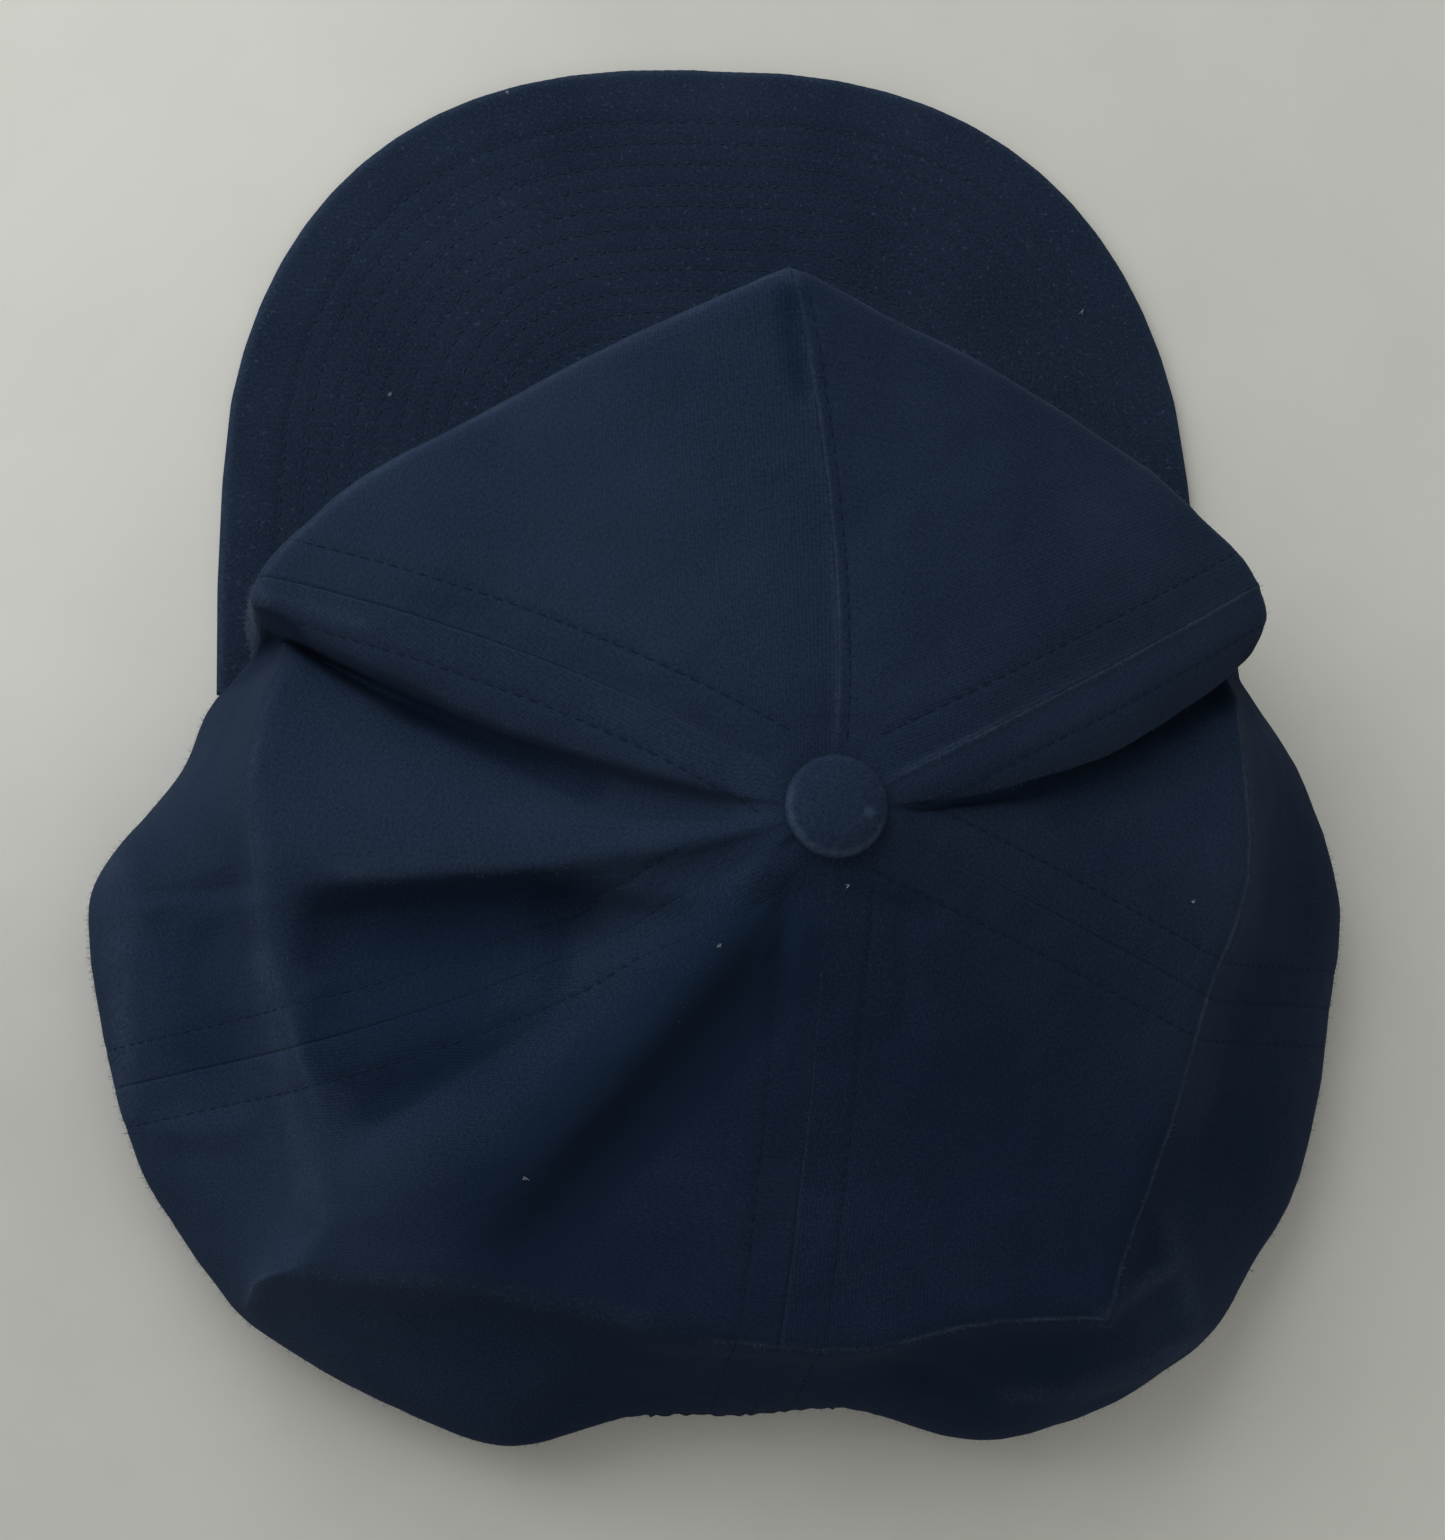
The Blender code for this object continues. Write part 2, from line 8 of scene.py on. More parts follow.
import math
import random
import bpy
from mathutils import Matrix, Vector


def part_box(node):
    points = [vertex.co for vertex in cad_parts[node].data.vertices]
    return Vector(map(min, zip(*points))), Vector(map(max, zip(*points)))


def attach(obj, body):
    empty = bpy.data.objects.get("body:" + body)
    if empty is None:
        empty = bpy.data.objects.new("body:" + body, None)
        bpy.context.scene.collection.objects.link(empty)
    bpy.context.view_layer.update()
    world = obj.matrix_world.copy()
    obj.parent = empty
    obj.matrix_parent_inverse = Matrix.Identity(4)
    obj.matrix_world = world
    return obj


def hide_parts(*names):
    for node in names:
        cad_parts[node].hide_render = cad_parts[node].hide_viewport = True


bl_info = {
    "name": "Six-panel cap",
    "version": (1, 0, 0),
    "blender": (4, 5, 0),
    "location": "View3D > Sidebar > Cap",
    "description": "Dresses the cap's frame in twill, thread and lint, and sets its stage",
    "category": "Add Mesh",
}

from collections import namedtuple
from functools import lru_cache
from itertools import groupby

import bpy
import numpy as np
from bpy.props import FloatProperty, FloatVectorProperty, IntProperty, PointerProperty
from mathutils import Matrix, Vector, geometry, noise

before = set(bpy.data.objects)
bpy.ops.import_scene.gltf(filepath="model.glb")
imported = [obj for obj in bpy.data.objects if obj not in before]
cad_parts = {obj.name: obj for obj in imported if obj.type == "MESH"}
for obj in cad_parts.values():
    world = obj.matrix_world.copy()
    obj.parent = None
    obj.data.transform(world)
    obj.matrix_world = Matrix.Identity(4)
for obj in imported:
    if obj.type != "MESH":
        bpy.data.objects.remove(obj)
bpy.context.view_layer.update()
BODY = "root"
MM = 0.001
# The least length that a vector is divided by, and the fewest points that make a stitch row.
TINY = 1e-9
FEWEST_POINTS = 3

# The crown's driving sizes and its sections, as in the part's source, about the middle of the head.
CROWN_WIDTH = 0.222
CROWN_FRONT = 0.090
CROWN_BACK = 0.098
CROWN_HEIGHT = 0.092
BELLY_HEIGHT = 0.012
HEM_TUCK = 0.0035
WALL_DROP = 0.40
WALL_LEAN = 0.16
WALL_BOW = 0.30
FOLD_DEPTH = 0.008
BUTTON_RADIUS = 0.0080
NECK_RADIUS = 0.0050
BUTTON_SEAT_SHARES = (-0.045, -0.067, 0.925)
PEAK_WIDTH = 0.1814
PEAK_ARCH = 0.0025
PEAK_THICKNESS = 0.0030
SEAM_GAP = 0.0003

# Rows of the dense sheet: from the button to the crest, to the belly and to the hem.
TOP_ROWS, WALL_ROWS, HEM_ROWS = 98, 56, 16
CREST_ROW = TOP_ROWS
BELLY_ROW = TOP_ROWS + WALL_ROWS
HEM_ROW = BELLY_ROW + HEM_ROWS
COLUMNS_A_CELL = 8
STRAY_LIMIT = 8 * MM
PROW_TIP_LIFT = (0.0, -1.0 * MM, 1.4 * MM)

Section = namedtuple(
    "Section",
    "place mid_across mid_along mid_up crest_across crest_along crest_up"
    " foot_across foot_along on_peak crisp cells",
)
SECTIONS = [
    Section("front seam", -0.05, -0.52, 0.97, 0.00, -1.00, 0.990, 0.00, -0.97, 1, 1, 3),
    Section("left prow", 0.08, -0.49, 0.96, 0.23, -0.90, 0.915, 0.28, -0.93, 1, 0, 3),
    Section("left front", 0.20, -0.43, 0.925, 0.46, -0.77, 0.820, 0.52, -0.82, 1, 0, 3),
    Section("left brow", 0.29, -0.38, 0.89, 0.65, -0.64, 0.725, 0.69, -0.68, 1, 0, 2),
    Section("left front seam", 0.33, -0.33, 0.85, 0.745, -0.53, 0.655, 0.765, -0.52, 1, 0, 2),
    Section("left roll", 0.335, -0.27, 0.83, 0.755, -0.50, 0.640, 0.757, -0.49, 1, 0, 2),
    Section("left overhang", 0.345, -0.205, 0.79, 0.745, -0.475, 0.610, 0.757, -0.46, 1, 0, 1),
    Section("left tuck", 0.335, -0.195, 0.70, 0.72, -0.45, 0.460, 0.785, -0.42, 1, 0, 1),
    Section("left pocket", 0.345, -0.145, 0.71, 0.705, -0.425, 0.565, 0.815, -0.385, 0, 0, 2),
    Section("left side", 0.36, -0.09, 0.74, 0.75, -0.28, 0.565, 0.86, -0.27, 0, 0, 3),
    Section("left ledge", 0.37, 0.00, 0.75, 0.77, -0.04, 0.570, 1.01, 0.01, 0, 0, 2),
    Section("left ledge foot", 0.37, 0.05, 0.71, 0.765, 0.04, 0.565, 1.01, 0.08, 0, 0, 3),
    Section("left hollow", 0.365, 0.10, 0.69, 0.74, 0.14, 0.560, 1.00, 0.185, 0, 0, 3),
    Section("left back seam", 0.34, 0.155, 0.69, 0.705, 0.28, 0.545, 0.975, 0.33, 0, 0, 3),
    Section("left flank", 0.305, 0.24, 0.71, 0.67, 0.43, 0.520, 0.93, 0.49, 0, 0, 3),
    Section("left haunch", 0.26, 0.33, 0.725, 0.69, 0.55, 0.480, 0.865, 0.61, 0, 0, 3),
    Section("left corner", 0.22, 0.385, 0.70, 0.76, 0.655, 0.430, 0.785, 0.735, 0, 1, 3),
    Section("left rump", 0.18, 0.42, 0.69, 0.555, 0.675, 0.490, 0.595, 0.87, 0, 0, 3),
    Section("left bulge", 0.12, 0.44, 0.69, 0.33, 0.72, 0.520, 0.395, 0.965, 0, 0, 3),
    Section("left band end", 0.055, 0.45, 0.70, 0.15, 0.775, 0.540, 0.16, 0.925, 0, 0, 2),
    Section("back seam", -0.02, 0.44, 0.71, 0.01, 0.80, 0.555, 0.01, 0.93, 0, 0, 2),
    Section("right band end", -0.08, 0.43, 0.715, -0.13, 0.805, 0.560, -0.13, 0.925, 0, 0, 3),
    Section("right bulge", -0.145, 0.41, 0.72, -0.265, 0.775, 0.575, -0.38, 0.995, 0, 0, 3),
    Section("right corner", -0.235, 0.36, 0.74, -0.48, 0.77, 0.565, -0.65, 0.915, 0, 1, 3),
    Section("right flank", -0.30, 0.24, 0.76, -0.575, 0.49, 0.590, -0.865, 0.62, 0, 0, 4),
    Section("right back seam", -0.345, 0.08, 0.78, -0.65, 0.24, 0.610, -0.97, 0.245, 0, 0, 3),
    Section("right side", -0.38, -0.01, 0.78, -0.72, 0.04, 0.620, -0.99, 0.04, 0, 0, 3),
    Section("right cheek", -0.395, -0.09, 0.77, -0.725, -0.145, 0.610, -0.955, -0.16, 0, 0, 2),
    Section("right pocket", -0.41, -0.13, 0.74, -0.73, -0.30, 0.585, -0.875, -0.325, 0, 0, 1),
    Section("right tuck", -0.42, -0.165, 0.715, -0.735, -0.365, 0.500, -0.84, -0.38, 1, 0, 1),
    Section("right overhang", -0.445, -0.16, 0.79, -0.75, -0.385, 0.600, -0.815, -0.42, 1, 0, 2),
    Section("right roll", -0.43, -0.22, 0.84, -0.77, -0.455, 0.630, -0.805, -0.45, 1, 0, 2),
    Section("right front seam", -0.40, -0.28, 0.86, -0.755, -0.51, 0.650, -0.79, -0.49, 1, 0, 2),
    Section("right brow", -0.36, -0.36, 0.89, -0.64, -0.64, 0.725, -0.70, -0.67, 1, 0, 3),
    Section("right front", -0.27, -0.44, 0.925, -0.43, -0.79, 0.820, -0.52, -0.82, 1, 0, 3),
    Section("right prow", -0.165, -0.49, 0.955, -0.20, -0.915, 0.915, -0.28, -0.93, 1, 0, 3),
]

Heading = namedtuple("Heading", "place degrees")
HEADINGS = [
    Heading("front seam", 0),
    Heading("left front seam", 60),
    Heading("left overhang", 88),
    Heading("left back seam", 118),
    Heading("back seam", 177),
    Heading("right back seam", 245),
    Heading("right overhang", 268),
    Heading("right front seam", 297),
    Heading("front seam", 360),
]

Fold = namedtuple(
    "Fold", "place from_across from_along to_across to_along left right ends depth"
)
FOLDS = [
    Fold("left dent", 0.33, 0.07, 0.63, 0.075, 0.20, 0.05, 0.09, -0.85),
    Fold("crease beside the button", 0.33, 0.085, 0.16, 0.105, 0.035, 0.05, 0.06, -0.45),
    Fold("crease behind the button", 0.06, 0.08, -0.03, 0.055, 0.04, 0.06, 0.05, -0.35),
    Fold("groove behind the dent", 0.26, 0.23, 0.60, 0.40, 0.06, 0.09, 0.08, -0.30),
    Fold("slanting ridge", 0.12, 0.15, 0.37, 0.50, 0.06, 0.12, 0.10, 0.38),
    Fold("foot of the ridge", 0.07, 0.23, 0.36, 0.60, 0.11, 0.06, 0.10, -0.22),
    Fold("left wall pleat", 0.82, 0.03, 0.92, 0.05, 0.16, 0.05, 0.05, -0.30),
    Fold("right wall pleat", -0.64, 0.62, -0.68, 0.75, 0.06, 0.06, 0.06, 0.35),
    Fold("right hem ridge", -0.45, 0.87, -0.74, 0.785, 0.06, 0.06, 0.08, 0.40),
]

# Small folds that only the cloth shows.
CREASES = [
    Fold("pinch in the prow", -0.003, -0.94, -0.014, -0.78, 0.010, 0.022, 0.03, -0.18),
    Fold("crease right of the button", -0.072, 0.070, -0.185, 0.108, 0.030, 0.022, 0.03, -0.13),
    Fold("first crease under the button", 0.021, 0.103, 0.028, 0.276, 0.022, 0.030, 0.05, -0.10),
    Fold("second crease under the button", -0.150, 0.124, -0.156, 0.246, 0.030, 0.022, 0.05, -0.08),
    Fold("step of the left wall", 0.77, 0.012, 0.935, -0.002, 0.030, 0.13, 0.03, -0.20),
    Fold("sunk left wall", 0.84, 0.10, 0.83, 0.29, 0.07, 0.07, 0.05, -0.10),
    Fold("rear step of the left wall", 0.79, 0.40, 0.90, 0.40, 0.05, 0.025, 0.03, 0.10),
    Fold("fork at the right corner", -0.475, 0.757, -0.60, 0.69, 0.030, 0.030, 0.02, 0.18),
    Fold("stem of the fork", -0.585, 0.60, -0.655, 0.76, 0.028, 0.028, 0.03, 0.16),
    Fold("pucker left of the band", 0.22, 0.85, 0.36, 0.93, 0.025, 0.025, 0.03, -0.10),
    Fold("pucker right of the band", -0.20, 0.84, -0.34, 0.90, 0.025, 0.025, 0.03, -0.12),
]

# Painted shade where the cloth lies deep, under folds and on walls that turn from the light, with
# the depth as a share of the darkest.
SOFT_PAINTED_SHADE = [
    Fold("floor of the dent", 0.41, 0.14, 0.59, 0.21, 0.155, 0.150, 0.10, 0.30),
    Fold("under the right roll", -0.66, -0.22, -0.40, -0.08, 0.040, 0.040, 0.05, 0.30),
    Fold("behind the slanting ridge", 0.03, 0.22, 0.34, 0.58, 0.05, 0.18, 0.12, 0.50),
    Fold("right wall at the corner", -0.60, 0.50, -0.56, 0.66, 0.05, 0.10, 0.06, 0.35),
    Fold("back wall right of the band", -0.20, 0.86, -0.42, 0.84, 0.06, 0.06, 0.06, 0.35),
    Fold("back of the crown", 0.10, 0.50, -0.20, 0.80, 0.80, 0.80, 0.40, 0.60),
    Fold("right wall", -0.90, -0.15, -0.72, 0.55, 0.16, 0.10, 0.20, 0.55),
    Fold("sunk left wall", 0.84, 0.10, 0.83, 0.26, 0.09, 0.09, 0.08, 0.42),
]

# Painted shade in hollows with a clear edge, with the depth as a share of the darkest.
SHADED_HOLLOWS = [
    Fold("head of the dent", 0.40, 0.095, 0.645, 0.10, 0.075, 0.075, 0.075, 0.50),
    Fold("body of the dent", 0.49, 0.18, 0.62, 0.26, 0.110, 0.100, 0.09, 0.62),
    Fold("tip of the dent", 0.35, 0.10, 0.35, 0.17, 0.040, 0.040, 0.04, 0.70),
    Fold("upper edge of the dent", 0.67, 0.040, 0.36, 0.035, 0.022, 0.020, 0.03, 0.45),
    Fold("lower edge of the dent", 0.36, 0.225, 0.60, 0.385, 0.032, 0.032, 0.03, 0.66),
    Fold("recess of the left wall", 0.80, 0.060, 0.90, 0.060, 0.045, 0.045, 0.04, 0.40),
    Fold("under the left roll", 0.52, -0.30, 0.28, -0.135, 0.034, 0.034, 0.03, 0.50),
    Fold("pinch in the prow", -0.004, -0.95, -0.020, -0.79, 0.008, 0.030, 0.02, 0.60),
]
HOLLOW_CRISPNESS = 3.0

# Ridges and edges painted pale, partly as rubbed cloth and partly as painted highlight where they
# catch the light, with the depth as their strength.
RUBBED_AND_LIT = [
    Fold("fork at the right corner", -0.475, 0.757, -0.60, 0.69, 0.026, 0.028, 0.03, 0.45),
    Fold("stem of the fork", -0.585, 0.60, -0.655, 0.76, 0.036, 0.036, 0.05, 0.30),
    Fold("right hem ridge", -0.38, 0.897, -0.68, 0.815, 0.034, 0.034, 0.06, 0.34),
    Fold("front of the left crest", 0.757, -0.136, 0.748, 0.13, 0.028, 0.028, 0.05, 0.22),
    Fold("back of the left crest", 0.748, 0.13, 0.676, 0.545, 0.028, 0.028, 0.05, 0.22),
    Fold("edge of the ledge", 0.34, 0.018, 0.62, 0.006, 0.010, 0.030, 0.05, 0.22),
    Fold("left silhouette", 0.97, -0.06, 0.96, 0.34, 0.040, 0.040, 0.05, 0.35),
    Fold("end of the left roll", 0.757, -0.53, 0.742, -0.455, 0.022, 0.022, 0.04, 0.34),
    Fold("rim of the left pocket", 0.735, -0.490, 0.60, -0.430, 0.018, 0.018, 0.04, 0.26),
]


def in_metres(across, along, up=0.0):
    """The point that a table gives as shares of the crown's sizes."""
    reach = CROWN_FRONT if along < 0 else CROWN_BACK
    return np.array((across * CROWN_WIDTH / 2, along * reach, up * CROWN_HEIGHT))


# The button's seat on the sections, and how far the frame's middle lies off theirs.
BUTTON_LOW, BUTTON_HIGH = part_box("top_button")
BUTTON_SEAT = in_metres(*BUTTON_SEAT_SHARES)
FRAME_SHIFT = np.array(((BUTTON_LOW + BUTTON_HIGH) / 2)[:]) * (1, 1, 0) - BUTTON_SEAT * (1, 1, 0)

SEAMS = (
    "front seam",
    "left front seam",
    "left back seam",
    "back seam",
    "right back seam",
    "right front seam",
)
BAND_ENDS = ("left band end", "right band end")
Panel = namedtuple("Panel", "name first last slot flat")
PANELS = (
    Panel("front_panel_left", "front seam", "left front seam", "front_twill", (0.112, 0.155)),
    Panel("side_panel_left", "left front seam", "left back seam", "side_twill", (0.112, 0.155)),
    Panel("back_panel_left", "left back seam", "back seam", "back_twill", (0.118, 0.155)),
    Panel("back_panel_right", "back seam", "right back seam", "back_twill", (0.122, 0.155)),
    Panel("side_panel_right", "right back seam", "right front seam", "side_twill", (0.098, 0.155)),
    Panel("front_panel_right", "right front seam", "front seam", "front_twill", (0.112, 0.155)),
)

# How each seam is sewn: its own height (a ridge above nought, a ditch below), how far its tape
# lifts the cloth, and where its stitch rows run, before it and behind it going round by the left.
SeamWork = namedtuple("SeamWork", "height tape rows")
SEAM_WORK = {
    "front seam": SeamWork(0.16 * MM, 0.02 * MM, (-1.8 * MM,)),
    "left front seam": SeamWork(0.05 * MM, 0.05 * MM, (-6.7 * MM, 6.7 * MM)),
    "left back seam": SeamWork(-0.03 * MM, 0.04 * MM, (-6.7 * MM, 6.7 * MM)),
    "back seam": SeamWork(0.05 * MM, 0.03 * MM, (-7.0 * MM, 7.0 * MM)),
    "right back seam": SeamWork(-0.03 * MM, 0.04 * MM, (-6.7 * MM, 6.7 * MM)),
    "right front seam": SeamWork(0.25 * MM, 0.06 * MM, (-6.7 * MM, 6.7 * MM)),
}

# Lines painted pale, partly rubbed cloth and partly painted highlight on crests, edges and seams:
# along a row of the sheet from one section to another, or along a seam from the button to the hem
# where no row is given.
PaleLine = namedtuple("PaleLine", "first last row half_width strength")
WEAR_AND_HIGHLIGHT_LINES = (
    PaleLine("right roll", "left roll", CREST_ROW, 1.6 * MM, 0.40),
    PaleLine("left pocket", "left flank", CREST_ROW, 1.8 * MM, 0.30),
    PaleLine("left haunch", "left band end", CREST_ROW - 2, 5.0 * MM, 0.22),
    PaleLine("left band end", "right bulge", CREST_ROW, 1.1 * MM, 0.55),
    PaleLine("right band end", "right tuck", CREST_ROW, 1.0 * MM, 0.90),
    PaleLine("left pocket", "left haunch", BELLY_ROW, 2.5 * MM, 0.30),
    PaleLine("right corner", "right cheek", BELLY_ROW - 5, 2.2 * MM, 0.45),
    PaleLine("front seam", "front seam", None, 0.8 * MM, 0.55),
    PaleLine("left front seam", "left front seam", None, 0.8 * MM, 0.12),
    PaleLine("back seam", "back seam", None, 0.8 * MM, 0.12),
    PaleLine("right front seam", "right front seam", None, 0.9 * MM, 0.62),
)


def smooth(t):
    """0 to 1 with level ends."""
    t = np.clip(t, 0.0, 1.0)
    return t * t * (3 - 2 * t)


def bump_at(distance, place, half_width):
    """1 at a place, falling to 0 at half_width on either side."""
    return smooth(1 - np.abs(distance - place) / half_width)


def size_of(vectors, keep=False):
    """Lengths of vectors, as a last axis of one where they are to divide the vectors."""
    return np.linalg.norm(vectors, axis=-1, keepdims=keep)


def walk_along(line):
    """The way walked to each point of a line."""
    return np.concatenate(([0], np.cumsum(size_of(np.diff(line, axis=0)))))


def number_of(place):
    return next(i for i, section in enumerate(SECTIONS) if section.place == place)


def around(values, at):
    """Smooth closed curve through one point for each section, read at section numbers."""
    count = len(values)
    first = np.floor(at).astype(int) % count
    before, here, there, after = (values[(first + k) % count] for k in (-1, 0, 1, 2))
    ways = (there - here, here - before, after - there)
    step, step_before, step_after = (np.maximum(size_of(way, True), TINY) for way in ways)
    chord = (there - here) / step
    slope_in = (chord * step_before + (here - before) / step_before * step) / (step + step_before)
    slope_out = (chord * step_after + (after - there) / step_after * step) / (step + step_after)
    crisp = np.array([section.crisp for section in SECTIONS], bool)
    slope_in = np.where(crisp[first][:, None], chord, slope_in)
    slope_out = np.where(crisp[(first + 1) % count][:, None], chord, slope_out)
    t = (at - np.floor(at))[:, None]
    return (
        here * (2 * t**3 - 3 * t**2 + 1)
        + slope_in * step * (t**3 - 2 * t**2 + t)
        + there * (3 * t**2 - 2 * t**3)
        + slope_out * step * (t**3 - t**2)
    )


def plain_sheet(at):
    """The crown before its folds: a column of points from the button to the hem at each number."""
    places = [number_of(row.place) for row in HEADINGS[:-1]] + [len(SECTIONS)]
    heading = np.radians(np.interp(at, places, [row.degrees for row in HEADINGS]))
    out = np.stack((np.sin(heading), -np.cos(heading), np.zeros_like(at)), axis=-1)
    start = BUTTON_SEAT + NECK_RADIUS * out
    mids = [in_metres(s.mid_across, s.mid_along, s.mid_up) for s in SECTIONS]
    crests = [in_metres(s.crest_across, s.crest_along, s.crest_up) for s in SECTIONS]
    feet = [in_metres(s.foot_across, s.foot_along) for s in SECTIONS]
    mid, crest, foot = (around(np.array(line), at) for line in (mids, crests, feet))
    first = np.floor(at).astype(int) % len(SECTIONS)
    stands = np.array([section.on_peak for section in SECTIONS], float)
    change = stands[(first + 1) % len(SECTIONS)] - stands[first]
    on_peak = stands[first] + change * smooth(at - np.floor(at))
    share = np.minimum(1.0, np.abs(foot[:, 0]) / (PEAK_WIDTH / 2))
    base = (PEAK_ARCH * (1 - share**2) + PEAK_THICKNESS + SEAM_GAP) * on_peak
    belly = foot.copy()
    belly[:, 2] = base + BELLY_HEIGHT
    hem = belly - foot / size_of(foot, True) * (HEM_TUCK * (1 - on_peak))[:, None]
    hem[:, 2] = base
    brow = crest + (belly - crest) * WALL_LEAN
    brow[:, 2] = crest[:, 2] + (belly[:, 2] - crest[:, 2]) * WALL_DROP
    bulge = foot.copy()
    bulge[:, 2] = belly[:, 2] + WALL_BOW * (crest[:, 2] - belly[:, 2])

    start, mid, crest, brow, bulge, belly, hem = (
        line[:, None, :] for line in (start, mid, crest, brow, bulge, belly, hem)
    )
    t = np.linspace(0, 1, TOP_ROWS + 1)[None, :, None]
    top = start * (1 - t) * (1 - 2 * t) + mid * 4 * t * (1 - t) + crest * t * (2 * t - 1)
    away = size_of((top - start)[..., :2])
    top[..., 2] = start[..., 2] + (top[..., 2] - start[..., 2]) * smooth(away / BUTTON_RADIUS / 1.5)
    t = np.linspace(0, 1, WALL_ROWS + 1)[None, 1:, None]
    wall = crest * (1 - t) ** 3 + brow * 3 * t * (1 - t) ** 2 + bulge * 3 * t * t * (1 - t) + belly * t**3
    t = np.linspace(0, 1, HEM_ROWS + 1)[None, 1:, None]
    tuck = belly + (hem - belly) * t * t
    tuck[..., 2:] = belly[..., 2:] + (hem[..., 2:] - belly[..., 2:]) * t
    return np.concatenate((top, wall, tuck), axis=1)


def outward(points):
    """Outward directions of a closed sheet of columns."""
    across = np.roll(points, -1, axis=0) - np.roll(points, 1, axis=0)
    normals = np.cross(np.gradient(points, axis=1), across)
    return normals / np.maximum(size_of(normals, True), 1e-12)


def fold_field(points, folds, crisp=1.0):
    """A table's folds over the cloth, seen from above: each one's depth, fading at its borders."""
    total = np.zeros(points.shape[:-1])
    half_crown = CROWN_WIDTH / 2
    for fold in folds:
        start = in_metres(fold.from_across, fold.from_along)
        run = in_metres(fold.to_across, fold.to_along) - start
        length = size_of(run)
        away = points - start
        along = (away[..., 0] * run[0] + away[..., 1] * run[1]) / length
        aside = (run[0] * away[..., 1] - run[1] * away[..., 0]) / length
        across = aside / (half_crown * np.where(aside > 0, fold.left, fold.right))
        past_end = np.maximum(0, np.maximum(-along, along - length)) / (half_crown * fold.ends)
        total += fold.depth * smooth(crisp * (1 - np.hypot(across, past_end)))
    return total


def blurred(field, times):
    """A field on the closed sheet, averaged with its neighbours some times."""
    for _ in range(times):
        field = (np.roll(field, 1, axis=0) + 2 * field + np.roll(field, -1, axis=0)) / 4
        inside = (field[:, :-2] + 2 * field[:, 1:-1] + field[:, 2:]) / 4
        field = np.concatenate((field[:, :1], inside, field[:, -1:]), axis=1)
    return field


def smoothed(points, weight, times):
    """Moves the sheet's points towards the average of their neighbours."""
    for _ in range(times):
        points = points + (blurred(points, 1) - points) * weight[..., None]
    return points


def evened(points, weight, times):
    """Moves the sheet's points towards the middle of the two columns beside them."""
    for _ in range(times):
        beside = (np.roll(points, 1, axis=0) + np.roll(points, -1, axis=0)) / 2
        points = points + (beside - points) * 0.5 * weight[..., None]
    return points


def softened(points, reach, times):
    """Rounds the sheet over at its crest, as cloth folds over with a small radius."""
    near = bump_at(np.arange(points.shape[1]), CREST_ROW, reach)
    near[[0, -1]] = 0
    for _ in range(times):
        between = points.copy()
        between[:, 1:-1] = (points[:, :-2] + points[:, 2:]) / 2
        points = points + (between - points) * 0.5 * near[None, :, None]
    return points


def noise_field(points, size, octaves, seed):
    """Smooth random field of about -1 to 1 with features of a given size."""
    flat = (points.reshape(-1, 3) / size + seed).tolist()
    values = [noise.fractal(spot, 1.0, 2.0, octaves) for spot in flat]
    return np.array(values).reshape(points.shape[:-1])


# How the plain sheet is evened out, in columns or rows of reach and in passes: behind the button
# where its columns crowd, at the prow's tip, beside both tucks and at two corners.
BEHIND_REACH, BEHIND_PASSES = 40, 90
BEHIND_END, BEHIND_FADE = 40 * MM, 14 * MM
TIP_REACH, TIP_PASSES = 9, 4
LIFT_COLUMNS, LIFT_ROWS = 22, 30
TUCK_REACH, TUCK_PASSES = 22, 5
BUTTON_END, BUTTON_FADE, BUTTON_PASSES = 46 * MM, 28 * MM, 40
CORNERS = (("right corner", 36, 80), ("left corner", 20, 24))
CORNER_ROWS, CORNER_FADE = 30, 24
# How softly folds, creases and the painted shade blend in, in passes, and how clear the soft
# painted shade's border is.
NORMAL_PASSES, FOLD_PASSES, CREASE_PASSES, DEEP_PASSES = 8, 24, 4, 14
DEEP_CRISPNESS = 1.8
# The crest's roundness as rows of reach and passes: all round, and where it is soft at the back.
CREST_ROUNDING, SOFT_CREST_ROUNDING, SOFT_CREST_REACH = (7, 14), (11, 50), 24
# The painted shade in the dark mouths of the tucks: how many columns off the tuck its middle is,
# its reach and depth. Then the painted shade's depth between the left overhang and tuck, and the rows
# over the crest, where both start and how fast they come in.
MOUTH_SHIFT, MOUTH_REACH, MOUTH_DEPTH = 3, 17, 2.5
OVERHANG_DEPTH = 1.5
DARK_OVER_CREST, DARK_RISE = 9, 6
# How a seam is looked for from each point: columns beside it, rows up and down it, and the least
# share of the way walked over the cloth that counts as distance.
SEAM_COLUMNS, SEAM_SLIP, WALKED_SHARE = 64, 10, 0.75
# Farther off than any place on the cap.
FAR = 1.0
# Across the cloth from a seam: the seam's own half width, the rise and fall of its tape, a stitch
# row's half width, and the low roll of cloth behind the row.
SEAM_HALF_WIDTH = 1.3 * MM
TAPE_RISE, TAPE_FALL = 1.2 * MM, 1.1 * MM
ROW_HALF_WIDTH = 1.0 * MM
ROLL_HEIGHT, ROLL_HALF_WIDTH = 0.04 * MM, 1.8 * MM
# Where puckers are highest beside a seam, and how fast they fade from there.
PUCKER_AT, PUCKER_FADE = 3 * MM, 4 * MM
# How small the relief is at the button, how far from it the relief and the paleness of wear and
# painted highlight are whole, and the softness of the turned hem's upper edge.
RELIEF_AT_BUTTON, RELIEF_FROM, WEAR_FROM = 0.25, 12 * MM, 10 * MM
HEM_SOFTNESS = 0.8 * MM
# Size, octaves and seed of the fields of unevenness.
BROAD_RUMPLE, FINE_RUMPLE = (0.022, 3, 3.1), (0.0055, 2, 7.7)
RUBBED_PATCHES = (0.009, 2, 33.0)
# How far the pleats reach past the band, as a share of it, and how high they are in the crown's
# own cloth as a share of the casing's.
GATHERS_PAST_BAND, GATHERS_IN_CROWN = 0.35, 0.6
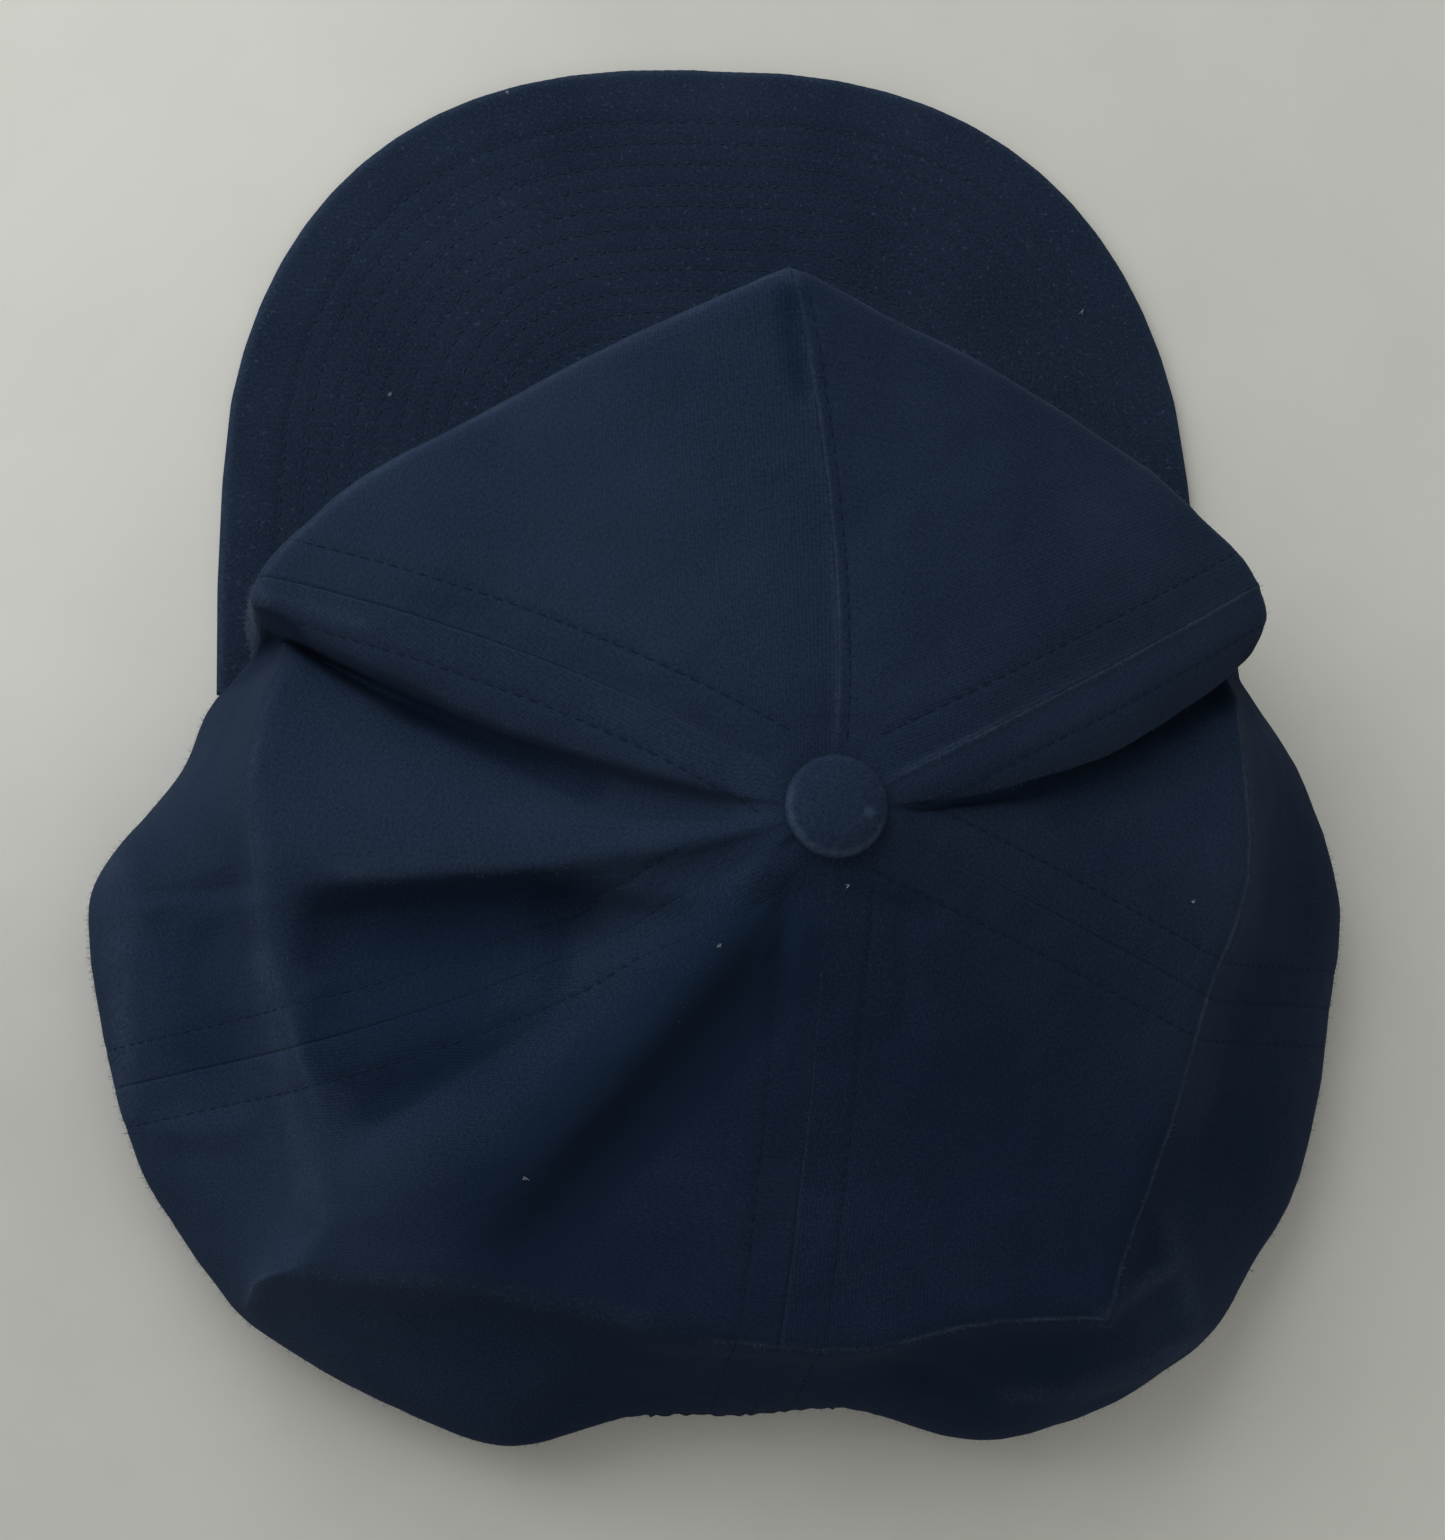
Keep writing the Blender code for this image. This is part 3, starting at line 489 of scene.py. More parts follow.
# Reaches in points over which the cloth's bend is measured, and the least gap that it is measured
# over. The bend, in one through metres, from which cloth is rubbed, how much more rubs it most, and
# how strong that wear is. The columns over which a pale line of wear and painted highlight comes in.
BEND_REACHES, LEAST_GAP = (2, 4), 0.8 * MM
RUBBED_FROM, RUBBED_RISE, RUBBED_MOST = 120, 400, 0.20
WEAR_ENDS = 12


class Crown:
    """The dense sheet: points, directions and, for each point, its distances along the cloth."""

    def __init__(self):
        at = []
        self.places = {}
        for number, section in enumerate(SECTIONS):
            self.places[section.place] = len(at)
            steps = section.cells * COLUMNS_A_CELL
            at += [number + k / steps for k in range(steps)]
        self.count = len(at)
        self.number = np.arange(self.count)
        self.rows = np.arange(HEM_ROW + 1)
        base = self.combed(plain_sheet(np.array(at)))
        normals = blurred(outward(base), NORMAL_PASSES)
        normals /= size_of(normals, True)
        fade = smooth(size_of(base - BUTTON_SEAT) / BUTTON_RADIUS - 1)
        fade *= smooth((base[..., 2] - BELLY_HEIGHT / 2) / BELLY_HEIGHT)
        push = blurred(fold_field(base, FOLDS) * fade, FOLD_PASSES)
        push += blurred(fold_field(base, CREASES) * fade, CREASE_PASSES)
        # Painted shade, darker cloth in creases, hollows, tuck mouths and on walls that turn from the
        # light, is kept apart from the pale of rubbed cloth and painted highlight.
        self.crisp_painted_shade = self.shade(base)
        soft_shade = np.maximum(-push, 0) * 0.5 + fold_field(base, SOFT_PAINTED_SHADE, DEEP_CRISPNESS)
        self.hollow = np.maximum(np.clip(blurred(soft_shade, DEEP_PASSES), 0, 1), self.crisp_painted_shade)
        self.rubbed_and_lit = fold_field(base, RUBBED_AND_LIT)
        folded = softened(base + normals * (push * FOLD_DEPTH)[..., None], *CREST_ROUNDING)
        soft = self.between("left flank", "right band end", SOFT_CREST_REACH)[:, None, None]
        folded = folded * (1 - soft) + softened(folded, *SOFT_CREST_ROUNDING) * soft
        self.points = folded + FRAME_SHIFT
        self.normals = outward(self.points)
        steps = size_of(np.diff(self.points, axis=1))
        self.down = np.concatenate((np.zeros((self.count, 1)), np.cumsum(steps, axis=1)), axis=1)
        self.above_hem = self.down[:, -1:] - self.down
        self.beside = size_of(np.roll(self.points, -1, axis=0) - self.points)
        self.seam_side, self.seam_distance, self.seam_along, self.seam_index = self.measure_seams()
        self.surface = self.points + self.normals * self.sewing_relief()[..., None]
        self.surface[..., 2] = np.maximum(self.surface[..., 2], 0.0)
        self.row_distance, self.row_along = self.measure_rows()
        self.worn = self.paleness()

    def between(self, first, last, reach):
        """0 to 1 on the columns from one section to another, rising over some columns."""
        low, high = self.places[first], self.places[last]
        return smooth((self.number - low) / reach) * smooth((high - self.number) / reach)

    def combed(self, sheet):
        """Evens the sheet out where its columns crowd, and smooths and lifts the prow's tip."""
        away = size_of((sheet - BUTTON_SEAT)[..., :2])
        loose = self.between("left back seam", "right back seam", BEHIND_REACH)[:, None]
        loose = loose * smooth((BEHIND_END - away) / BEHIND_FADE)
        loose[:, 0] = 0
        sheet = smoothed(sheet, loose, BEHIND_PASSES)
        from_front = np.minimum(self.number, self.count - self.number)
        tip = bump_at(from_front, 0, TIP_REACH)[:, None] * bump_at(self.rows, CREST_ROW, TIP_REACH)
        sheet = smoothed(sheet, tip, TIP_PASSES)
        raised = bump_at(from_front, 0, LIFT_COLUMNS)[:, None] * bump_at(self.rows, CREST_ROW, LIFT_ROWS)
        sheet = sheet + raised[..., None] * PROW_TIP_LIFT
        near_button = smooth((BUTTON_END - away) / BUTTON_FADE)
        for tuck in ("left tuck", "right tuck"):
            near_tuck = bump_at(self.number, self.places[tuck], TUCK_REACH)[:, None]
            sheet = evened(sheet, near_tuck * np.ones_like(away), TUCK_PASSES)
            sheet = evened(sheet, near_tuck * near_button, BUTTON_PASSES)
        low_down = smooth((self.rows - BELLY_ROW + CORNER_ROWS) / CORNER_FADE)
        for corner, reach, passes in CORNERS:
            near_corner = bump_at(self.number, self.places[corner], reach)[:, None]
            sheet = evened(sheet, near_corner * low_down, passes)
        return sheet

    def shade(self, base):
        """Painted shade, 0 to 1, in the hollows with a clear edge and in the dark mouths of the tucks."""
        overhang, tuck = self.places["left overhang"], self.places["left tuck"]
        hidden = (self.number > self.places["left front seam"]) & (self.number < tuck)
        dark = [fold_field(base, [hollow], HOLLOW_CRISPNESS) * ~hidden[:, None] for hollow in SHADED_HOLLOWS]
        low_down = smooth((self.rows - CREST_ROW + DARK_OVER_CREST) / DARK_RISE)
        for mouth in (tuck - MOUTH_SHIFT, self.places["right tuck"] + MOUTH_SHIFT):
            near_mouth = bump_at(self.number, mouth, MOUTH_REACH)[:, None]
            dark.append(MOUTH_DEPTH * near_mouth * low_down)
        deep_end = smooth((self.number - overhang + 4) / 5) * smooth((tuck + 2 - self.number) / 4)
        dark.append(OVERHANG_DEPTH * deep_end[:, None] * low_down)
        return np.clip(blurred(np.max(dark, axis=0), 2), 0, 1)

    def columns(self, first, last):
        """Column numbers from one section to another, running past the count where it wraps."""
        low, high = self.places[first], self.places[last]
        return np.arange(low, high + 1 if high > low else high + self.count + 1)

    def measure_seams(self):
        """Nearest seam of each point: its side, distance, place along it and number."""
        shape = self.points.shape[:2]
        nearest, side = np.full(shape, FAR), np.ones(shape)
        along, index = np.zeros(shape), np.zeros(shape, int)
        shifts = range(-SEAM_SLIP, SEAM_SLIP + 1)
        for number, place in enumerate(SEAMS):
            column = self.places[place]
            lines = [self.points[column, np.clip(self.rows + k, 0, self.rows[-1])] for k in shifts]
            for way in (1, -1):
                walked = np.zeros(shape[1])
                for step in range(0 if way > 0 else 1, SEAM_COLUMNS):
                    here = (column + way * step) % self.count
                    if step:
                        walked += self.beside[(here if way < 0 else here - 1) % self.count]
                    far = np.min([size_of(self.points[here] - line) for line in lines], axis=0)
                    far = np.maximum(far, walked * WALKED_SHARE)
                    closer = far < nearest[here]
                    found = ((nearest, far), (side, way), (along, self.down[column]), (index, number))
                    for field, value in found:
                        field[here] = np.where(closer, value, field[here])
        return side, nearest, along, index

    def measure_rows(self):
        """Distance of each point to the nearest row of stitches, and its place along that row."""
        signed = self.seam_distance * self.seam_side
        distance = np.full(signed.shape, FAR)
        for number, place in enumerate(SEAMS):
            for row in SEAM_WORK[place].rows:
                away = np.where(self.seam_index == number, np.abs(signed - row), FAR)
                distance = np.minimum(distance, away)
        walked = np.cumsum(self.beside, axis=0)
        from_hem = np.abs(self.above_hem - bpy.context.scene.cap_thread.hem_row)
        along = np.where(from_hem < distance, walked, self.seam_along)
        return np.minimum(distance, from_hem), along

    def sewing_relief(self):
        """How far seams, tapes, hem, gathers and small creases lift or sink the cloth."""
        distance, along = self.seam_distance, self.seam_along
        settings = bpy.context.scene.cap_crown
        wave = np.sin(along / settings.pucker_pitch * 2 * math.pi + 5 * np.sin(along * 90))
        relief = settings.pucker * wave * np.exp(-np.abs(distance - PUCKER_AT) / PUCKER_FADE)
        for number, place in enumerate(SEAMS):
            work = SEAM_WORK[place]
            edge = abs(work.rows[0])
            lift = smooth(distance / TAPE_RISE) * (1 - smooth((distance - edge + TAPE_FALL) / TAPE_FALL))
            lift = work.tape * lift + work.height * bump_at(distance, 0, SEAM_HALF_WIDTH)
            for row in work.rows:
                lift -= settings.row_sink * bump_at(distance * self.seam_side, row, ROW_HALF_WIDTH)
            lift += ROLL_HEIGHT * bump_at(distance, edge + ROLL_HALF_WIDTH, ROLL_HALF_WIDTH)
            relief += np.where(self.seam_index == number, lift, 0)
        fade = smooth(self.down / RELIEF_FROM)
        relief *= RELIEF_AT_BUTTON + (1 - RELIEF_AT_BUTTON) * fade
        past_hem = smooth((self.above_hem - settings.hem_width) / HEM_SOFTNESS)
        relief += settings.hem_lift * (1 - past_hem) + self.gathers()
        relief += settings.rumple * noise_field(self.points, *BROAD_RUMPLE) * fade
        relief += settings.fine_rumple * noise_field(self.points, *FINE_RUMPLE) * fade
        return relief

    def gather_wave(self):
        """The elastic's upright pleats on each column, and how far they reach past its ends."""
        first, last = (self.places[place] for place in BAND_ENDS)
        share = (self.number - first) / (last - first)
        phase = share * bpy.context.scene.cap_band.gathers * 2 * math.pi
        wave = np.cos(phase + 0.9 * np.sin(phase * 0.37) + 0.5 * np.sin(phase * 1.7))
        starts = smooth(1 + share / GATHERS_PAST_BAND)
        return wave, starts * smooth(1 + (1 - share) / GATHERS_PAST_BAND)

    def gathers(self):
        """How far the pleats lift the hem and, fading upwards, the back."""
        wave, span = self.gather_wave()
        settings = bpy.context.scene.cap_band
        above = self.down[:, BELLY_ROW : BELLY_ROW + 1] - self.down
        fading = np.exp(-np.maximum(above, 0) / settings.gather_reach)
        fading = np.where(self.rows < BELLY_ROW, fading, 1.0)
        return settings.gather_depth * GATHERS_IN_CROWN * (wave * span)[:, None] * fading

    def bend(self, reach):
        """How sharply the cloth turns outwards, across and down, over a reach of points."""
        surface, rows = self.surface, self.rows
        across = [np.roll(surface, way, axis=0) for way in (reach, -reach)]
        down = [surface[:, np.clip(rows + way, 0, rows[-1])] for way in (-reach, reach)]
        bends = []
        for before, after in (across, down):
            gap = np.maximum(size_of(before - after) / 2, LEAST_GAP)
            turn = np.einsum("ijk,ijk->ij", 2 * surface - before - after, self.normals)
            bends.append(turn / gap**2)
        bends[1][:, :reach] = 0
        bends[1][:, -reach:] = 0
        return sum(bends)

    def paleness(self):
        """0 to 1 where the cloth is painted pale: rubbed on outward bends, rubbed with painted highlight
        on its ridges and lines of wear, less in the crisp painted shade.
        """
        bend = blurred(sum(self.bend(reach) for reach in BEND_REACHES) / len(BEND_REACHES), 3)
        uneven = 0.75 + 0.5 * noise_field(self.points, *RUBBED_PATCHES)
        on_bends = RUBBED_MOST * smooth((bend - RUBBED_FROM) / RUBBED_RISE)
        worn = np.maximum(on_bends, self.rubbed_and_lit * uneven)
        for line in WEAR_AND_HIGHLIGHT_LINES:
            if line.row is None:
                away = self.seam_distance
                span = self.seam_index == SEAMS.index(line.first)
            else:
                columns = self.columns(line.first, line.last)
                length = columns[-1] - columns[0]
                run = (self.number - columns[0]) % self.count
                span = smooth(run / WEAR_ENDS) * smooth((length - run) / WEAR_ENDS)
                span = (span * (run <= length))[:, None]
                away = np.abs(self.down - self.down[:, line.row : line.row + 1])
            thin = bump_at(away, 0, line.half_width)
            worn = np.maximum(worn, line.strength * thin * span * uneven)
        return np.clip(worn * (1 - self.crisp_painted_shade), 0, 1) * smooth(self.down / WEAR_FROM)


@lru_cache(maxsize=1)
def crown():
    return Crown()


def as_object(name, data):
    piece = bpy.data.objects.new(name, data)
    bpy.context.scene.collection.objects.link(piece)
    return piece


def deselect_all():
    if bpy.context.object and bpy.context.object.mode != "OBJECT":
        bpy.ops.object.mode_set(mode="OBJECT")
    bpy.ops.object.select_all(action="DESELECT")


def rim_of(quads):
    """Edges that only one of the quads has, in the order that it has them."""
    edges = {}
    for a, b, c, d in quads:
        for edge in ((a, b), (b, c), (c, d), (d, a)):
            if (edge[1], edge[0]) in edges:
                del edges[edge[1], edge[0]]
            else:
                edges[edge] = True
    return list(edges)


def cloth_shell(name, outer, inner, cells, fields, uv):
    """A closed piece of cloth: outer and inner points as grids, and the grid cells it keeps."""
    columns, rows = outer.shape[:2]
    c, r = np.nonzero(cells)
    corner = c * rows + r
    quads = np.stack((corner, corner + 1, corner + rows + 1, corner + rows), axis=-1)
    used, flat = np.unique(quads, return_inverse=True)
    quads = flat.reshape(quads.shape)
    count = len(used)
    rim = np.array(rim_of(quads.tolist()))
    sides = np.stack((rim[:, 1], rim[:, 0], rim[:, 0] + count, rim[:, 1] + count), axis=-1)
    faces = np.concatenate((quads, quads[:, ::-1] + count, sides))
    points = np.concatenate((outer.reshape(-1, 3)[used], inner.reshape(-1, 3)[used]))
    data = bpy.data.meshes.new(name)
    data.vertices.add(len(points))
    data.vertices.foreach_set("co", points.astype(np.float32).ravel())
    data.loops.add(faces.size)
    data.loops.foreach_set("vertex_index", faces.ravel().astype(np.int32))
    data.polygons.add(len(faces))
    data.polygons.foreach_set("loop_start", np.arange(0, faces.size, 4, dtype=np.int32))
    data.update(calc_edges=True)
    data.shade_smooth()
    for field, values in fields.items():
        layer = data.attributes.new(field, "FLOAT", "POINT")
        both = np.tile(values.reshape(-1)[used], 2)
        layer.data.foreach_set("value", both.astype(np.float32))
    layer = data.uv_layers.new(name="cloth")
    corners = uv.reshape(-1, 2)[used][faces.ravel() % count]
    layer.data.foreach_set("uv", corners.astype(np.float32).ravel())
    data.validate()
    return as_object(name, data)


def check_against_frame(piece, node):
    """Stops the script where a piece's cloth strays from the solid that it stands for."""
    low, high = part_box(node)
    points = np.array([vert.co[:] for vert in piece.data.vertices])
    stray = max(np.abs(points.min(axis=0) - low[:]).max(), np.abs(points.max(axis=0) - high[:]).max())
    if stray > STRAY_LIMIT:
        raise RuntimeError(f"{piece.name} is {stray / MM:.1f} mm off {node}: the sections differ")


def half_surface(piece):
    return sum(face.area for face in piece.data.polygons) / 2


def dress(piece, material, slot):
    """Gives a piece its material and its place on the body; the slot it is given is not used."""
    piece.data.materials.clear()
    piece.data.materials.append(material)
    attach(piece, BODY)


class Nodes:
    """Short ways to add and join shader nodes in one tree."""

    def __init__(self, tree):
        self.tree = tree

    def add(self, kind, label="", **values):
        node = self.tree.nodes.new(kind)
        node.label = label
        for name, value in values.items():
            setattr(node, name, value)
        return node

    def put(self, value, socket):
        if hasattr(value, "is_output"):
            self.tree.links.new(value, socket)
        else:
            socket.default_value = value

    def fill(self, node, values):
        """Puts each value into the node's socket of that name or number."""
        for socket, value in values.items():
            self.put(value, node.inputs[socket])

    def math(self, operation, *values, label=""):
        node = self.add("ShaderNodeMath", label, operation=operation)
        self.fill(node, dict(enumerate(values)))
        return node.outputs[0]

    def plus(self, first, *others):
        for other in others:
            first = self.math("ADD", first, other)
        return first

    def times(self, first, *others):
        for other in others:
            first = self.math("MULTIPLY", first, other)
        return first

    def minus(self, first, second):
        return self.math("SUBTRACT", first, second)

    def ramp(self, value, low, high, to_low=0.0, to_high=1.0, label=""):
        node = self.add("ShaderNodeMapRange", label, interpolation_type="SMOOTHSTEP")
        ends = {"From Min": low, "From Max": high, "To Min": to_low, "To Max": to_high}
        self.fill(node, {"Value": value, **ends})
        return node.outputs["Result"]

    def mix(self, share, first, second):
        node = self.add("ShaderNodeMix", data_type="RGBA", blend_type="MIX")
        self.fill(node, {0: share, 6: first, 7: second})
        return node.outputs[2]

    def noise(self, vector, scale, detail, roughness, label=""):
        node = self.add("ShaderNodeTexNoise", label)
        self.fill(node, {"Vector": vector, "Scale": scale, "Detail": detail, "Roughness": roughness})
        return node.outputs["Fac"]

    def field(self, name):
        node = self.add("ShaderNodeAttribute", name, attribute_name=name, attribute_type="GEOMETRY")
        return node.outputs["Fac"]

    def place(self):
        """The place on the piece, in metres."""
        return self.add("ShaderNodeTexCoord").outputs["Object"]

    def apart(self, vector, label):
        """The X, Y and Z of a vector."""
        node = self.add("ShaderNodeSeparateXYZ", label)
        self.put(vector, node.inputs[0])
        return node.outputs

    def group(self, name, **values):
        node = self.add("ShaderNodeGroup", name, node_tree=bpy.data.node_groups[name])
        self.fill(node, {socket.replace("_", " "): value for socket, value in values.items()})
        return node

    def shader(self, label, values):
        """The material's one shader, with its sockets filled, joined to the output."""
        node = self.add("ShaderNodeBsdfPrincipled", label)
        self.fill(node, values)
        self.put(node.outputs[0], self.add("ShaderNodeOutputMaterial").inputs[0])


SOCKET_KINDS = {float: "NodeSocketFloat", tuple: "NodeSocketColor", type(None): "NodeSocketVector"}
BLACK = (0.0, 0.0, 0.0, 1.0)


def new_group(name, inputs, outputs):
    """A shader group with its sockets: an input is of its default's kind, or a vector without one."""
    tree = bpy.data.node_groups.new(name, "ShaderNodeTree")
    for socket, default in inputs.items():
        kind = SOCKET_KINDS[type(default)]
        item = tree.interface.new_socket(name=socket, in_out="INPUT", socket_type=kind)
        if default is not None:
            item.default_value = default
    for socket in outputs:
        kind = "NodeSocketColor" if socket == "Color" else "NodeSocketFloat"
        tree.interface.new_socket(name=socket, in_out="OUTPUT", socket_type=kind)
    nodes = Nodes(tree)
    return nodes, nodes.add("NodeGroupInput").outputs, nodes.add("NodeGroupOutput").inputs


# The weave: which way a wale runs over the cloth, how many yarns cross a wale's width, and how
# much wales, yarns and loose fibres count in its height and its colour.
WALE_SLANT = (0.82, 0.57)
YARNS_A_WALE = 1.45
WALE_HEIGHT, YARN_HEIGHT = 0.35, 0.15
WEAVE_CONTRAST, FIBRE_CONTRAST = 0.20, 1.7
# The share of faded colour in plain cloth, and how much the thread and the darkening of painted shade and
# stitch holes change it.
UNWORN_SHARE = 0.30
THREAD_CONTRAST, SUNK_CONTRAST = 0.75, 0.45


def build_twill_group():
    """Diagonal wales crossed by yarns, on the cloth's own lengths."""
    nodes, given, put = new_group(
        "Twill weave", {"Cloth": None, "Wale Pitch": 0.8 * MM, "Unevenness": 0.5}, ("Height", "Thread")
    )
    across, along, _ = nodes.apart(given["Cloth"], "along and across")
    drift = nodes.noise(given["Cloth"], 420, 2, 0.5, "uneven yarn")
    drift = nodes.times(nodes.minus(drift, 0.5), given["Unevenness"])
    slant = nodes.plus(nodes.times(across, WALE_SLANT[0]), nodes.times(along, WALE_SLANT[1]))
    turns = nodes.plus(nodes.math("DIVIDE", slant, given["Wale Pitch"]), drift)
    wale = nodes.math("SINE", nodes.times(turns, 2 * math.pi), label="wale")
    turns = nodes.plus(nodes.math("DIVIDE", along, given["Wale Pitch"]), drift)
    yarn = nodes.math("SINE", nodes.times(turns, YARNS_A_WALE * 2 * math.pi), label="yarn")
    both = nodes.plus(nodes.times(wale, WALE_HEIGHT), nodes.times(yarn, YARN_HEIGHT))
    nodes.put(nodes.plus(both, 0.5), put["Height"])
    fibre = nodes.noise(given["Cloth"], 1900, 4, 0.7, "fibres")
    fibre = nodes.times(nodes.minus(fibre, 0.5), FIBRE_CONTRAST)
    nodes.put(nodes.plus(nodes.times(both, WEAVE_CONTRAST), fibre), put["Thread"])


def build_wear_group():
    """Colour of dyed cloth: mottled, paler where it is rubbed and where highlight is painted, darker with
    painted shade in hollows and grooves and in stitch holes.
    """
    nodes, given, put = new_group(
        "Worn twill colour",
        {
            "Dye": BLACK,
            "Faded": BLACK,
            "Worn": 0.0,
            "Sunk": 0.0,
            "Thread": 0.0,
            "Place": None,
            "Mottle": 0.5,
        },
        ("Color", "Fluff"),
    )
    broad = nodes.noise(given["Place"], 28, 4, 0.6, "broad fading")
    fluff = nodes.noise(given["Place"], 900, 4, 0.75, "fluff")
    patch = nodes.times(nodes.minus(broad, 0.5), given["Mottle"])
    rubbed_and_lit = nodes.times(given["Worn"], nodes.ramp(fluff, 0.38, 0.62, 0.45, 1.25))
    share = nodes.plus(UNWORN_SHARE, patch, rubbed_and_lit, nodes.times(given["Thread"], THREAD_CONTRAST))
    share = nodes.minus(share, nodes.times(given["Sunk"], SUNK_CONTRAST))
    held = nodes.add("ShaderNodeClamp", "within the dye")
    nodes.put(share, held.inputs["Value"])
    nodes.put(nodes.mix(held.outputs[0], given["Dye"], given["Faded"]), put["Color"])
    nodes.put(fluff, put["Fluff"])


def build_row_group():
    """One row of stitches at a distance: its groove, and the dots where the thread goes down."""
    nodes, given, put = new_group(
        "Stitch row",
        {"Distance": 0.0, "Row At": 0.0, "Along": 0.0, "Pitch": 2.6 * MM},
        ("Groove", "Holes"),
    )
    off = nodes.math("ABSOLUTE", nodes.minus(given["Distance"], given["Row At"]))
    turns = nodes.math("DIVIDE", given["Along"], given["Pitch"])
    dots = nodes.math("COSINE", nodes.times(turns, 2 * math.pi))
    dots = nodes.ramp(dots, 0.1, 0.9, 0.0, 1.0, "holes")
    near = nodes.ramp(off, 0.7 * MM, 0.2 * MM, 0.0, 1.0, "under the thread")
    nodes.put(nodes.ramp(off, 1.1 * MM, 0.0, 0.0, 1.0, "groove"), put["Groove"])
    nodes.put(nodes.times(dots, near), put["Holes"])


def opaque(colour, share=1.0):
    """A colour, or a paler or darker share of it, with full cover."""
    return tuple(part * share for part in colour[:3]) + (1.0,)


def blank_material(name):
    material = bpy.data.materials.new(name)
    material.use_nodes = True
    material.node_tree.nodes.clear()
    return material, Nodes(material.node_tree)


COTTON = {"Roughness": 0.92, "Specular IOR Level": 0.04}
FLUFF = {"Sheen Roughness": 0.45, "Sheen Tint": (0.36, 0.50, 0.85, 1.0)}


def finish_cloth(nodes, height, colour, strength=1.0):
    """The shader of dyed cotton: matt, with a soft sheen of fluff, and the weave's bump."""
    cloth = bpy.context.scene.cap_cloth
    bump = nodes.add("ShaderNodeBump", "weave and grooves")
    nodes.fill(bump, {"Distance": cloth.weave_depth, "Strength": strength, "Height": height})
    sheen = {"Sheen Weight": cloth.sheen, **FLUFF}
    nodes.shader("cotton", {"Base Color": colour, "Normal": bump.outputs[0], **COTTON, **sheen})


def finish_twill(nodes, on_cloth, dye, faded, worn, sunk=0.0, groove=None, holes=None):
    """Finishes woven cloth, paler with wear and painted highlight, less the stitch rows' grooves where it
    has any.
    """
    cloth = bpy.context.scene.cap_cloth
    weave = nodes.group("Twill weave", Cloth=on_cloth, Wale_Pitch=cloth.wale_pitch)
    colour = nodes.group(
        "Worn twill colour", Dye=opaque(dye), Faded=opaque(faded), Worn=worn, Sunk=sunk,
        Thread=weave.outputs["Thread"], Place=nodes.place(), Mottle=cloth.mottle,
    )
    height = nodes.times(weave.outputs["Height"], 0.5)
    height = nodes.plus(height, nodes.times(colour.outputs["Fluff"], 0.8))
    if groove:
        height = nodes.minus(height, nodes.times(groove, 0.3))
        height = nodes.minus(height, nodes.times(holes, 0.5))
    finish_cloth(nodes, height, colour.outputs["Color"])


def cloth_uv(nodes):
    return nodes.add("ShaderNodeUVMap", "cloth", uv_map="cloth").outputs[0]


def panel_material(name, faded):
    """Twill of the crown: paler where rubbed and where highlight is painted, darker with painted shade in
    its hollows and grooves, and in stitch holes.
    """
    cloth = bpy.context.scene.cap_cloth
    material, nodes = blank_material(name)
    sewn = nodes.group(
        "Stitch row", Distance=nodes.field("row_distance"), Along=nodes.field("row_along"),
        Pitch=bpy.context.scene.cap_thread.pitch,
    )
    place = nodes.place()
    across, along, up = nodes.apart(place, "place on the cap")
    patches = nodes.ramp(nodes.noise(place, 26, 2, 0.5, "patches"), 0.42, 0.60, cloth.faint_rows, 1.0)
    on_wall = nodes.ramp(up, 30 * MM, 52 * MM, cloth.faint_walls, 1.0)
    aside = nodes.ramp(nodes.math("ABSOLUTE", across), 30 * MM, 55 * MM, 0.0, 0.75)
    in_front = nodes.times(aside, nodes.ramp(along, 0.0, 20 * MM, 1.0, 0.0))
    shows = nodes.times(patches, on_wall, nodes.minus(1.0, in_front))
    groove = nodes.times(sewn.outputs["Groove"], shows)
    holes = nodes.times(sewn.outputs["Holes"], shows)
    # Darkening: painted shade in the rows' grooves and in the hollows, and the stitch holes.
    sunk = nodes.plus(
        nodes.times(groove, cloth.row_shade),
        nodes.times(holes, cloth.hole_shade),
        nodes.times(nodes.field("hollow"), cloth.painted_shade_strength),
    )
    finish_twill(nodes, cloth_uv(nodes), cloth.dye, faded, nodes.field("worn"), sunk, groove, holes)
    return material


def thread_material(name, colour):
    material, nodes = blank_material(name)
    twist = nodes.noise(nodes.place(), 2600, 3, 0.6, "twist")
    shade = nodes.mix(nodes.ramp(twist, 0.35, 0.65), opaque(colour, 0.6), opaque(colour))
    finish_cloth(nodes, twist, shade, 0.6)
    return material


def mesh_piece(name, points, edges, faces):
    """A smooth piece from its points, edges and faces."""
    data = bpy.data.meshes.new(name)
    data.from_pydata([tuple(point) for point in points], edges, faces)
    data.shade_smooth()
    return as_object(name, data)


def edit_whole(piece, shape=None):
    """Shapes a piece in edit mode, then merges its doubles and turns its faces outwards."""
    deselect_all()
    piece.select_set(True)
    bpy.context.view_layer.objects.active = piece
    bpy.ops.object.mode_set(mode="EDIT")
    bpy.ops.mesh.select_all(action="SELECT")
    if shape:
        shape()
        bpy.ops.mesh.select_all(action="SELECT")
    bpy.ops.mesh.remove_doubles(threshold=0.01 * MM)
    bpy.ops.mesh.normals_make_consistent(inside=False)
    bpy.ops.object.mode_set(mode="OBJECT")


